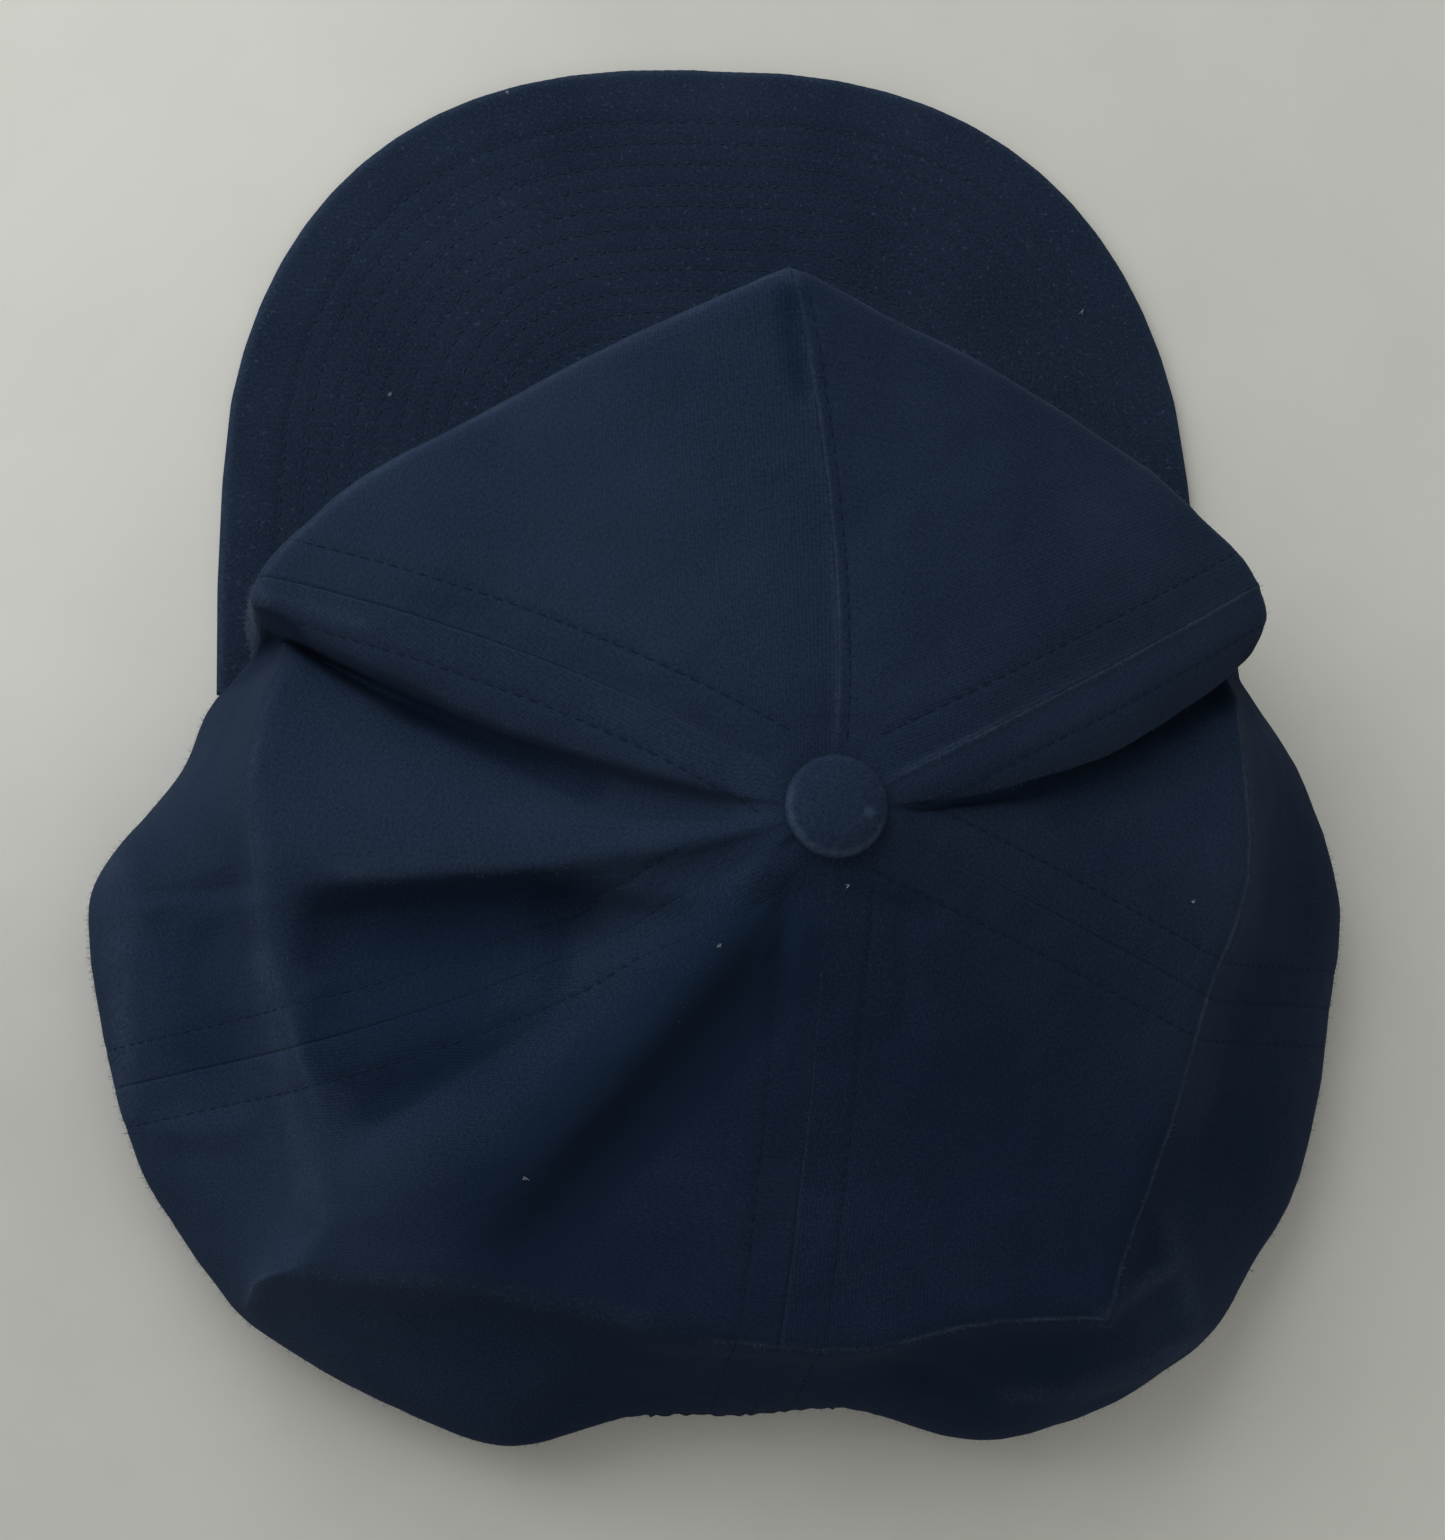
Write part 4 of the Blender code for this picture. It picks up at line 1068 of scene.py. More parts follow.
def rows_of_stitches(name, lines, material, slot, length):
    """One piece of many stitches, laid end to end along lines of points and directions."""
    settings = bpy.context.scene.cap_thread
    deselect_all()
    bpy.ops.mesh.primitive_uv_sphere_add(segments=6, ring_count=5, radius=0.5)
    pattern = bpy.context.object
    shape = np.array([vert.co[:] for vert in pattern.data.vertices])
    faces = [list(face.vertices) for face in pattern.data.polygons]
    bpy.data.objects.remove(pattern)
    shape = shape[:, [2, 0, 1]] * (length, settings.thickness, settings.thickness * 0.75)
    points, polygons = [], []
    for line, normals in lines:
        walked = walk_along(line)

        def at(place, values):
            return np.array([np.interp(place, walked, values[:, k]) for k in range(3)])

        for middle in np.arange(settings.pitch / 2, walked[-1], settings.pitch):
            start, end = at(middle - length / 2, line), at(middle + length / 2, line)
            along = (end - start) / max(np.linalg.norm(end - start), TINY)
            side = np.cross(at(middle, normals), along)
            side /= max(np.linalg.norm(side), TINY)
            turned = shape @ np.stack((along, side, np.cross(along, side)))
            first = len(points)
            points += list((start + end) / 2 + turned)
            polygons += [[first + k for k in face] for face in faces]
    dress(mesh_piece(name, points, [], polygons), material, slot)


def a_length(name, description, default):
    return FloatProperty(name=name, description=description, default=default, unit="LENGTH")


def a_share(name, description, default):
    return FloatProperty(name=name, description=description, default=default)


def a_count(name, description, default):
    return IntProperty(name=name, description=description, default=default)


def a_colour(name, description, default):
    return FloatVectorProperty(name=name, description=description, default=default, subtype="COLOR")


class CapCrownSettings(bpy.types.PropertyGroup):
    backed_cloth: a_length("Backed cloth", "Thickness of the front panels", 2.0 * MM)
    plain_cloth: a_length("Plain cloth", "Thickness of the other panels", 1.5 * MM)
    row_sink: a_length("Row sink", "Depth that a stitch row pulls the cloth in", 0.05 * MM)
    pucker: a_length("Pucker", "Height of the puckers along a seam", 0.05 * MM)
    pucker_pitch: a_length("Pucker pitch", "Length of one pucker", 6.3 * MM)
    hem_lift: a_length("Hem lift", "How far the turned hem stands out", 0.3 * MM)
    hem_width: a_length("Hem width", "Width of the turned hem", 6.0 * MM)
    rumple: a_length("Rumple", "Height of the broad unevenness", 0.55 * MM)
    fine_rumple: a_length("Fine rumple", "Height of the small unevenness", 0.10 * MM)


class CapClothSettings(bpy.types.PropertyGroup):
    dye: a_colour("Dye", "Colour of the twill", (0.0064, 0.0142, 0.0325))
    dull_dye: a_colour("Dull dye", "Colour of the peak's twill", (0.0048, 0.0105, 0.0235))
    faded: a_colour("Faded", "Colour where the twill is rubbed", (0.030, 0.047, 0.083))
    dull_faded: a_colour("Dull faded", "Colour where the band's casing is rubbed", (0.022, 0.036, 0.062))
    thread: a_colour("Thread", "Colour of the sewing thread", (0.011, 0.020, 0.041))
    wale_pitch: a_length("Wale pitch", "Distance from one wale to the next", 0.50 * MM)
    weave_depth: a_length("Weave depth", "Depth of the weave's relief", 0.07 * MM)
    sheen: a_share("Sheen", "Strength of the fluff's sheen", 0.02)
    mottle: a_share("Mottle", "Strength of the broad fading", 0.5)
    row_shade: a_share("Row shade", "Darkness of a stitch row's groove", 0.06)
    hole_shade: a_share("Hole shade", "Darkness between two stitches", 0.22)
    faint_rows: a_share("Faint rows", "Least share of a row that still shows", 0.15)
    faint_walls: a_share("Faint walls", "Share of a row that shows on the crown's walls", 0.35)
    # Strength of the painted shade in hollows and on walls that turn from the light.
    painted_shade_strength: a_share("Hollow shade", "Darkness of shadowed hollows", 0.9)


class CapThreadSettings(bpy.types.PropertyGroup):
    pitch: a_length("Stitch pitch", "Distance from one stitch to the next", 2.6 * MM)
    length: a_length("Stitch length", "Length of thread that shows", 1.9 * MM)
    thickness: a_length("Thread thickness", "Thickness of the thread", 0.34 * MM)
    hem_row: a_length("Hem row", "Height of the hem's stitch row on the cloth", 6.6 * MM)


class CapPeakSettings(bpy.types.PropertyGroup):
    first_row: a_length("First row", "Distance of the first stitch row from the edge", 10.4 * MM)
    row_spacing: a_length("Row spacing", "Distance between stitch rows", 4.0 * MM)
    rows: a_count("Rows", "Number of stitch rows", 14)
    quilting: a_length("Quilting", "Height of the cloth between rows", 0.035 * MM)
    row_shade: a_share("Row shade", "Darkness of a row's groove", 0.04)
    dust: a_share("Dust", "Strength of the pale specks in the twill", 0.55)
    stitch_length: a_length("Stitch length", "Length of thread that shows", 1.2 * MM)
    thread: a_colour("Thread", "Colour of the peak's thread", (0.021, 0.032, 0.054))
    edge_fold: a_length("Edge fold", "Height of the turned edge", 0.12 * MM)


class CapBandSettings(bpy.types.PropertyGroup):
    gathers: a_count("Gathers", "Number of pleats in the band", 11)
    gather_depth: a_length("Gather depth", "Depth of a pleat", 0.20 * MM)
    gather_reach: a_length("Gather reach", "How far pleats run up the back", 9.0 * MM)
    cloth: a_length("Casing", "Thickness of the casing", 2.2 * MM)


class CapButtonSettings(bpy.types.PropertyGroup):
    pleats: a_count("Pleats", "Pleats of the cloth drawn under the rim", 17)
    pleat_depth: a_length("Pleat depth", "Depth of a pleat at the rim", 0.05 * MM)


class CapLintSettings(bpy.types.PropertyGroup):
    seed: a_count("Seed", "Start of the random draws", 7)
    fuzz: a_count("Fuzz", "Number of fibres on rubbed edges", 5000)
    fuzz_length: a_length("Fuzz length", "Usual length of a fibre", 1.0 * MM)
    fuzz_thickness: a_length("Fuzz thickness", "Thickness of a fibre", 0.045 * MM)
    fuzz_colour: a_colour("Fuzz colour", "Colour of the fibres", (0.070, 0.095, 0.140))
    lint: a_colour("Lint", "Colour of the specks", (0.42, 0.47, 0.52))


class CapStageSettings(bpy.types.PropertyGroup):
    floor: a_colour("Floor", "Colour of the floor", (0.62, 0.62, 0.58))
    key_power: a_share("Key light", "Power of the large soft light", 10.4)
    fill_power: a_share("Fill light", "Power of the light overhead", 3.2)
    world: a_share("Room light", "Brightness of the room", 0.43)


class CAP_OT_crown_panels(bpy.types.Operator):
    """Make the six panels of the crown from one dense sheet of twill"""

    bl_idname = "cap.crown_panels"
    bl_label = "Crown panels"

    def execute(self, context):
        sheet = crown()
        settings, faded = context.scene.cap_crown, context.scene.cap_cloth.faded
        materials = {
            "front_twill": panel_material("backed navy twill", faded),
            "side_twill": panel_material("navy twill", faded),
            "back_twill": panel_material("back navy twill", faded),
        }
        band = sheet.columns(*BAND_ENDS)
        for panel in PANELS:
            thickness = settings.backed_cloth if "front" in panel.name else settings.plain_cloth
            span = sheet.columns(panel.first, panel.last)
            wrapped = span % sheet.count
            outer = sheet.surface[wrapped]
            inner = sheet.points[wrapped] - sheet.normals[wrapped] * thickness
            inner[..., 2] = np.maximum(inner[..., 2], 0.0)
            cells = np.ones((len(span) - 1, HEM_ROW), bool)
            over_band = (span[:-1] >= band[0]) & (span[1:] <= band[-1])
            cells[over_band, BELLY_ROW:] = False
            walked = sheet.beside[wrapped[:-1]].cumsum(axis=0)
            across = np.concatenate((np.zeros((1, outer.shape[1])), walked)) - walked[len(span) // 2]
            uv = np.stack((across, sheet.down[wrapped]), axis=-1)
            names = ("row_distance", "row_along", "worn", "hollow")
            fields = {name: getattr(sheet, name)[wrapped] for name in names}
            piece = cloth_shell(panel.name + "_cloth", outer, inner, cells, fields, uv)
            dress(piece, materials[panel.slot], panel.slot)
            check_against_frame(piece, panel.name)
            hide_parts(panel.name)
            held = "folded" if "side" in panel.name else "laid"
            width, length = panel.flat
            min(half_surface(piece) * 0.97, width * length)
        return {"FINISHED"}


# The casing: columns to one of the crown's, how much its outward directions rise, how far it
# stands out all over, in its middle and, less, at the row of stitches along it, and how much
# longer its gathered cloth is than the casing.
CASING_FINENESS = 2
CASING_RISE = 0.3
CASING_LIFT, CASING_BULGE = 0.2 * MM, 0.5 * MM
CASING_ROW_SINK, CASING_ROW_WIDTH = 0.25 * MM, 0.09
GATHERED_LENGTH = 1.6


class CAP_OT_elastic_band(bpy.types.Operator):
    """Make the gathered casing of the elastic, in the hem at the back"""

    bl_idname = "cap.elastic_band"
    bl_label = "Elastic band"

    def execute(self, context):
        sheet = crown()
        settings = context.scene.cap_band
        span = sheet.columns(*BAND_ENDS)
        at = np.linspace(0, len(span) - 1, (len(span) - 1) * CASING_FINENESS + 1)
        wave, reach = sheet.gather_wave()

        def read(values):
            """Values of the crown's columns, read on the casing's finer ones."""
            values = values[span]
            low = np.floor(at).astype(int)
            high = np.minimum(low + 1, len(span) - 1)
            part = (at - low).reshape((-1,) + (1,) * (values.ndim - 1))
            return values[low] + (values[high] - values[low]) * part

        points, normals, down = (
            read(values)[:, BELLY_ROW:] for values in (sheet.points, sheet.normals, sheet.down)
        )
        normals[..., 2] *= CASING_RISE
        normals /= size_of(normals, True)
        lift = settings.gather_depth * read(wave * reach)[:, None]
        rows = np.linspace(0, 1, points.shape[1])
        bulge = CASING_BULGE * np.sin(rows * math.pi)
        bulge -= CASING_ROW_SINK * bump_at(rows, 0.5, CASING_ROW_WIDTH)
        outer = points + normals * (lift + bulge + CASING_LIFT)[..., None]
        outer[:, -1, 2] = points[:, -1, 2]
        inner = points - normals * settings.cloth
        every = np.ones(down.shape)
        along = walk_along(points[:, 0])[:, None] * GATHERED_LENGTH
        worn = smooth((lift / settings.gather_depth - 0.2) / 0.8) * 0.25
        piece = cloth_shell(
            "elastic_band_casing",
            outer,
            inner,
            np.ones((len(at) - 1, HEM_ROWS), bool),
            {
                "row_distance": every * FAR,
                "row_along": every * 0,
                "hollow": every * 0,
                "worn": every * worn,
            },
            np.stack((every * along, down), axis=-1),
        )
        faded = context.scene.cap_cloth.dull_faded
        dress(piece, panel_material("gathered navy casing", faded), "band_casing")
        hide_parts("elastic_band")
        min(half_surface(piece), 0.056 * 0.013)
        return {"FINISHED"}


# The peak's rays start in its heel's middle, a little inside the node: how many there are, how long
# each is, in which arc it looks for the heel's edge, and how far from there the cloth starts.
HEEL_INSET, HEEL_GAP = 0.5 * MM, 0.3 * MM
PEAK_RAYS, RAY_LENGTH = 321, 0.3
HEEL_WINDOW = math.radians(7)
# Over how many rays the heel's edge is evened out, and the outer edge, which keeps its form in an
# arc of some degrees at both ends. Points of the outline, and how many are measured at once.
HEEL_EVENING, EDGE_EVENING, END_ARC = 11, 7, 12
OUTLINE_POINTS, AT_ONCE = 2400, 60


def evened_out(values, width):
    """Values averaged along a line over a width of samples."""
    kernel = np.hanning(width)
    return np.convolve(np.pad(values, width // 2, mode="edge"), kernel / kernel.sum(), mode="valid")


class PeakSheet:
    """The peak's cloth as rays from its heel's middle: its outline is read from the node."""

    def __init__(self):
        low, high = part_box("peak")
        flat = [vert.co.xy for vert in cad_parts["peak"].data.vertices]
        hull = [flat[k] for k in geometry.convex_hull_2d(flat)]
        self.centre = Vector(((low.x + high.x) / 2, high.y - HEEL_INSET))
        ways = [spot - self.centre for spot in flat]
        bearings = np.array([math.atan2(way.x, -way.y) for way in ways])
        radii = np.array([way.length for way in ways])
        turns = np.radians(np.linspace(-90, 90, PEAK_RAYS))
        self.ways = np.stack((np.sin(turns), -np.cos(turns)), axis=-1)
        outer, inner = [], []
        for turn, way in zip(turns, self.ways):
            far = self.centre + Vector(way) * RAY_LENGTH
            sides = zip(hull, hull[1:] + hull[:1])
            met = [geometry.intersect_line_line_2d(self.centre, far, *side) for side in sides]
            outer.append(max((spot - self.centre).length for spot in met if spot))
            inner.append(radii[np.abs(bearings - turn) < HEEL_WINDOW].min())
        self.inner = evened_out(evened_out(inner, HEEL_EVENING), HEEL_EVENING) + HEEL_GAP
        ends = smooth((90 - np.abs(np.degrees(turns))) / END_ARC)
        self.outer = np.array(outer) * (1 - ends) + evened_out(outer, EDGE_EVENING) * ends
        self.half_width = (high.x - low.x) / 2
        outline = self.plan(np.array([1.0]))[:, 0]
        fine = np.linspace(0, PEAK_RAYS - 1, OUTLINE_POINTS)
        ray = np.arange(PEAK_RAYS)
        self.outline = np.stack([np.interp(fine, ray, outline[:, k]) for k in (0, 1)], axis=-1)

    def underside(self, across):
        share = np.minimum(1, np.abs(across - self.centre.x) / self.half_width)
        return PEAK_ARCH * (1 - share**2)

    def raised(self, plan, height):
        """Plan points as places at a height over the arched underside."""
        up = self.underside(plan[..., 0]) + height
        return np.concatenate((plan, up[..., None]), axis=-1)

    def from_edge(self, points):
        """Distance of plan points to the outer edge."""
        flat = points.reshape(-1, 2).astype(np.float32)
        outline = self.outline.astype(np.float32)
        nearest = np.full(len(flat), FAR, np.float32)
        for part in range(0, len(outline), AT_ONCE):
            gap = flat[:, None, :] - outline[None, part : part + AT_ONCE]
            nearest = np.minimum(nearest, np.sqrt((gap**2).sum(axis=-1)).min(axis=1))
        return nearest.reshape(points.shape[:-1]).astype(float)

    def plan(self, shares):
        """Places in plan at shares of each ray's way from the heel to the outer edge."""
        radius = self.inner[:, None] + (self.outer - self.inner)[:, None] * shares[None, :]
        return np.array(self.centre[:]) + self.ways[:, None, :] * radius[..., None]


@lru_cache(maxsize=1)
def peak_sheet():
    return PeakSheet()


# The peak's turned edge: where its cloth lies double, and how fast that starts and ends. Then the
# sink of its first row, its unevenness and the shares of a ray on its flat and on its rounded edge.
DOUBLE_FROM, DOUBLE_RISE = 0.4 * MM, 2.0 * MM
DOUBLE_TO, DOUBLE_FALL = 8.4 * MM, 1.8 * MM
FIRST_ROW_SINK = 0.06 * MM
PEAK_RUMPLE, PEAK_UNEVENNESS = 0.10 * MM, (0.012, 2, 21.0)
FLAT_SHARE, FLAT_RINGS, EDGE_RINGS = 0.975, 92, 6
EDGE_WEAR, EDGE_WEAR_WIDTH = 0.3, 2.2 * MM


def peak_relief(distance, points):
    """Quilting between the stitch rows and the turned edge, as a height over the board."""
    settings = bpy.context.scene.cap_peak
    past = (distance - settings.first_row) / settings.row_spacing
    within = smooth(past * 3) * (past < settings.rows)
    quilt = settings.quilting * (np.abs(np.sin(np.maximum(past, 0) * math.pi)) ** 0.7) * within
    fold = settings.edge_fold * smooth((distance - DOUBLE_FROM) / DOUBLE_RISE)
    fold *= 1 - smooth((distance - DOUBLE_TO) / DOUBLE_FALL)
    fold -= FIRST_ROW_SINK * bump_at(distance, settings.first_row, 1.0 * MM)
    return quilt + fold + PEAK_RUMPLE * noise_field(points, *PEAK_UNEVENNESS)


class CAP_OT_peak(bpy.types.Operator):
    """Make the peak: a board in cloth, quilted by its stitch rows, with a rounded edge"""

    bl_idname = "cap.peak"
    bl_label = "Peak"

    def execute(self, context):
        sheet = peak_sheet()
        half = PEAK_THICKNESS / 2
        edge = np.sin(np.linspace(0, 1, EDGE_RINGS + 2)[1:-1] * math.pi / 2)
        edge = FLAT_SHARE + (1 - FLAT_SHARE) * edge
        plan = sheet.plan(np.concatenate((np.linspace(0, FLAT_SHARE, FLAT_RINGS), edge)))
        distance = sheet.from_edge(plan)
        rounding = np.sqrt(np.clip(1 - (1 - distance / half) ** 2, 0, 1))
        rounding = np.where(distance < half, rounding, 1)
        top = sheet.raised(plan, half + half * rounding)
        top[..., 2] += peak_relief(distance, top) * rounding
        bottom = sheet.raised(plan, half - half * rounding)
        rim = sheet.raised(sheet.plan(np.array([1.0])), half)
        outer = np.concatenate((top, rim), axis=1)
        inner = np.concatenate((bottom, rim), axis=1)
        distance = np.concatenate((distance, np.zeros((len(outer), 1))), axis=1)
        along = np.repeat(walk_along(rim[:, 0])[:, None], outer.shape[1], axis=1)
        worn = (1 - smooth(distance / EDGE_WEAR_WIDTH)) * EDGE_WEAR
        piece = cloth_shell(
            "peak_cloth",
            outer[::-1],
            inner[::-1],
            np.ones((outer.shape[0] - 1, outer.shape[1] - 1), bool),
            {"edge_distance": distance[::-1], "edge_along": along[::-1], "worn": worn[::-1]},
            outer[::-1][..., :2],
        )
        edit_whole(piece)
        dress(piece, peak_material(), "peak_twill")
        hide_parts("peak")
        return {"FINISHED"}


def peak_material():
    """The peak's duller twill with its own rows, rubbed edge and pale dust."""
    cloth, settings = bpy.context.scene.cap_cloth, bpy.context.scene.cap_peak
    material, nodes = blank_material("stitched peak twill")
    distance = nodes.field("edge_distance")
    past = nodes.math("DIVIDE", nodes.minus(distance, settings.first_row), settings.row_spacing)
    nearest = nodes.math("MAXIMUM", nodes.math("ROUND", past), 0.0)
    row_at = nodes.plus(nodes.times(nearest, settings.row_spacing), settings.first_row)
    sewn = nodes.group(
        "Stitch row", Distance=distance, Row_At=row_at, Along=nodes.field("edge_along"),
        Pitch=bpy.context.scene.cap_thread.pitch,
    )
    groove, holes = sewn.outputs["Groove"], sewn.outputs["Holes"]
    # The groove's darkening is painted shade.
    sunk = nodes.times(groove, settings.row_shade)
    dust = nodes.ramp(nodes.noise(nodes.place(), 1300, 2, 0.5, "dust"), 0.62, 0.72, 0.0, settings.dust)
    worn = nodes.plus(nodes.field("worn"), dust)
    finish_twill(nodes, cloth_uv(nodes), cloth.dull_dye, cloth.faded, worn, sunk, groove, holes)
    return material


# The button's dome: its height, its rings and how full it is (1 for an ellipse, less for a fuller
# form). Then the places on its neck under the rim, each as a share of its radius and a drop.
DOME_HEIGHT, DOME_STEPS, DOME_FULLNESS = 3.4 * MM, 14, 0.92
BUTTON_FOOT = 0.3 * MM
BUTTON_NECK = ((0.985, 0.45 * MM), (0.90, 0.85 * MM), (0.62, 1.0 * MM), (0.52, 1.4 * MM))
BUTTON_TURNS = 136
BUTTON_SAG, SAG_SIZE = 0.16 * MM, 4.5 * MM
# Its pleats: the share of the radius from which they rise, how high they are under the rim as a
# share of their height on it, and how much they stir the rim's outline.
PLEATS_FROM, PLEATS_UNDER_RIM, PLEAT_SPREAD = 0.55, 0.3, 0.003
# Its pale rim: the share of the radius, the breadth and the way that is palest, the paleness all
# round and the paleness that this way adds. Then the pale spot on its dome: place, radius, strength.
RIM_SHARE, RIM_BREADTH, RIM_PALE_WAY = 0.93, 0.10, math.radians(65)
RIM_PALE, RIM_PALE_MORE = 0.15, 0.75
PALE_SPOT, PALE_SPOT_RADIUS, PALE_SPOT_STRENGTH = (-4.6 * MM, 1.3 * MM), 1.3 * MM, 1.2


class CAP_OT_top_button(bpy.types.Operator):
    """Make the covered button: a domed disc with its cloth drawn in under the rim"""

    bl_idname = "cap.top_button"
    bl_label = "Top button"

    def execute(self, context):
        settings, cloth = context.scene.cap_button, context.scene.cap_cloth
        middle = (BUTTON_LOW + BUTTON_HIGH) / 2
        radius = (BUTTON_HIGH.x - BUTTON_LOW.x) / 2
        top, foot = BUTTON_HIGH.z, BUTTON_LOW.z + BUTTON_FOOT
        rim = top - DOME_HEIGHT
        profile = [(0, 0, top)]
        for turn in np.radians(np.linspace(0, 90, DOME_STEPS + 1)[1:]):
            out = radius * math.sin(turn) ** DOME_FULLNESS
            profile.append((out, 0, rim + DOME_HEIGHT * math.cos(turn)))
        profile += [(radius * out, 0, rim - drop) for out, drop in BUTTON_NECK]
        profile += [(radius * BUTTON_NECK[-1][0], 0, foot), (0, 0, foot)]
        edges = [(k, k + 1) for k in range(len(profile) - 1)]
        piece = mesh_piece("top_button_cover", profile, edges, [])
        turned = {"steps": BUTTON_TURNS, "angle": 2 * math.pi, "center": (0, 0, 0), "axis": (0, 0, 1)}
        edit_whole(piece, lambda: bpy.ops.mesh.spin(**turned))
        worn = []
        for vert in piece.data.vertices:
            spot = vert.co
            turn, share = math.atan2(spot.y, spot.x), math.hypot(spot.x, spot.y) / radius
            near_rim = float(smooth((share - PLEATS_FROM) / (1 - PLEATS_FROM)))
            pleat = math.cos(settings.pleats * turn + 1.3 * math.sin(3 * turn))
            height = settings.pleat_depth * (1 if spot.z > rim else PLEATS_UNDER_RIM)
            spot.z += height * pleat * near_rim
            if spot.z > rim - 0.2 * MM:
                spot.z += BUTTON_SAG * noise.noise(Vector((spot.x, spot.y, 3.0)) / SAG_SIZE)
            spot.xy = spot.xy * (1 + PLEAT_SPREAD * pleat * near_rim) + middle.xy
            toward = float(smooth((math.cos(turn - RIM_PALE_WAY) + 0.35) / 0.9))
            rubbed_and_lit = (RIM_PALE + RIM_PALE_MORE * toward) * float(bump_at(share, RIM_SHARE, RIM_BREADTH))
            rubbed_and_lit *= spot.z > rim - 0.6 * MM
            from_spot = (spot.xy - middle.xy - Vector(PALE_SPOT)).length
            on_spot = PALE_SPOT_STRENGTH * float(bump_at(from_spot, 0, PALE_SPOT_RADIUS))
            worn.append(max(rubbed_and_lit, on_spot))
        piece.data.shade_smooth()
        piece.data.attributes.new("worn", "FLOAT", "POINT").data.foreach_set("value", worn)
        material, nodes = blank_material("button twill")
        finish_twill(nodes, nodes.place(), cloth.dye, cloth.faded, nodes.field("worn"))
        dress(piece, material, "button_cover")
        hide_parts("top_button")
        return {"FINISHED"}


# The sheet's first and last rows that a seam's stitches reach, and the columns that they are
# looked for in beside it.
SEWN_FROM, SEWN_TO, SEWN_COLUMNS = 8, HEM_ROW - 2, 62


def seam_row(sheet, place, signed):
    """Points and directions along a seam at a signed distance from it."""
    column = sheet.places[place]
    way, target = (1 if signed > 0 else -1), abs(signed)
    points, normals = [], []
    for row in range(SEWN_FROM, SEWN_TO + 1):
        last, before = column, 0.0
        for step in range(1, SEWN_COLUMNS):
            here = (column + way * step) % sheet.count
            far = sheet.seam_distance[here, row]
            if sheet.seam_side[here, row] != way:
                break
            if far >= target:
                part = (target - before) / max(far - before, TINY)
                for kept, values in ((points, sheet.surface), (normals, sheet.normals)):
                    kept.append(values[last, row] * (1 - part) + values[here, row] * part)
                break
            last, before = here, far
    return np.array(points), np.array(normals)


class CAP_OT_crown_stitches(bpy.types.Operator):
    """Sew the rows of stitches beside the crown's seams and along its hem"""

    bl_idname = "cap.crown_stitches"
    bl_label = "Crown stitches"

    def execute(self, context):
        sheet = crown()
        settings = context.scene.cap_thread
        lines = {"front_seam_stitches": [], "hem_stitches": [], "back_seam_stitches": []}
        slots = dict(zip(lines, ("front_twill", "side_twill", "back_twill")))
        for place in SEAMS:
            name = "front_seam_stitches" if "front" in place else "back_seam_stitches"
            rows = (seam_row(sheet, place, row) for row in SEAM_WORK[place].rows)
            lines[name] += [row for row in rows if len(row[0]) > FEWEST_POINTS]
        columns = np.arange(sheet.count)
        rows = [int(np.searchsorted(-above, -settings.hem_row)) for above in sheet.above_hem]
        points, normals = sheet.surface[columns, rows], sheet.normals[columns, rows]
        first, last = (sheet.places[place] for place in BAND_ENDS)
        for part in (columns[:first], columns[last + 1 :]):
            lines["hem_stitches"].append((points[part], normals[part]))
        thread = thread_material("navy sewing thread", context.scene.cap_cloth.thread)
        for name, rows in lines.items():
            rows_of_stitches(name, rows, thread, slots[name], settings.length)
        return {"FINISHED"}


# How far along a ray and at how many places on it the peak's rows are looked for, how far past the
# heel the crown hides them, and how far the thread stands off the cloth.
SEWN_SHARE, SEWN_PLACES = 0.985, 160
HIDDEN_HEEL, THREAD_GAP = 4.6 * MM, 0.02 * MM


class CAP_OT_peak_stitches(bpy.types.Operator):
    """Sew the rows of stitches that run round the peak, one inside the other"""

    bl_idname = "cap.peak_stitches"
    bl_label = "Peak stitches"

    def execute(self, context):
        sheet = peak_sheet()
        settings = context.scene.cap_peak
        shares = np.linspace(0, SEWN_SHARE, SEWN_PLACES)
        plan = sheet.plan(shares)
        distance = sheet.from_edge(plan)
        top = sheet.raised(plan, PEAK_THICKNESS)
        height = top[..., 2] + peak_relief(distance, top)
        foot = sheet.inner + HIDDEN_HEEL

        def sewn(ray, target):
            """The place on a ray at a distance from the edge, or None under the crown."""
            away = distance[ray][::-1]
            share = float(np.interp(target, away, shares[::-1]))
            radius = sheet.inner[ray] + (sheet.outer[ray] - sheet.inner[ray]) * share
            if target > away[-1] or radius < foot[ray]:
                return None
            spot = np.array(sheet.centre[:]) + sheet.ways[ray] * radius
            return (*spot, float(np.interp(share, shares, height[ray])) + THREAD_GAP)

        lines = []
        for row in range(settings.rows):
            target = settings.first_row + row * settings.row_spacing
            spots = [sewn(ray, target) for ray in range(len(plan))]
            for bare, run in groupby(spots, lambda spot: spot is None):
                run = np.array([] if bare else list(run))
                if len(run) > FEWEST_POINTS:
                    lines.append((run, np.tile((0.0, 0.0, 1.0), (len(run), 1))))
        thread = thread_material("peak sewing thread", settings.thread)
        rows_of_stitches("peak_stitches", lines, thread, "peak_twill", settings.stitch_length)
        return {"FINISHED"}


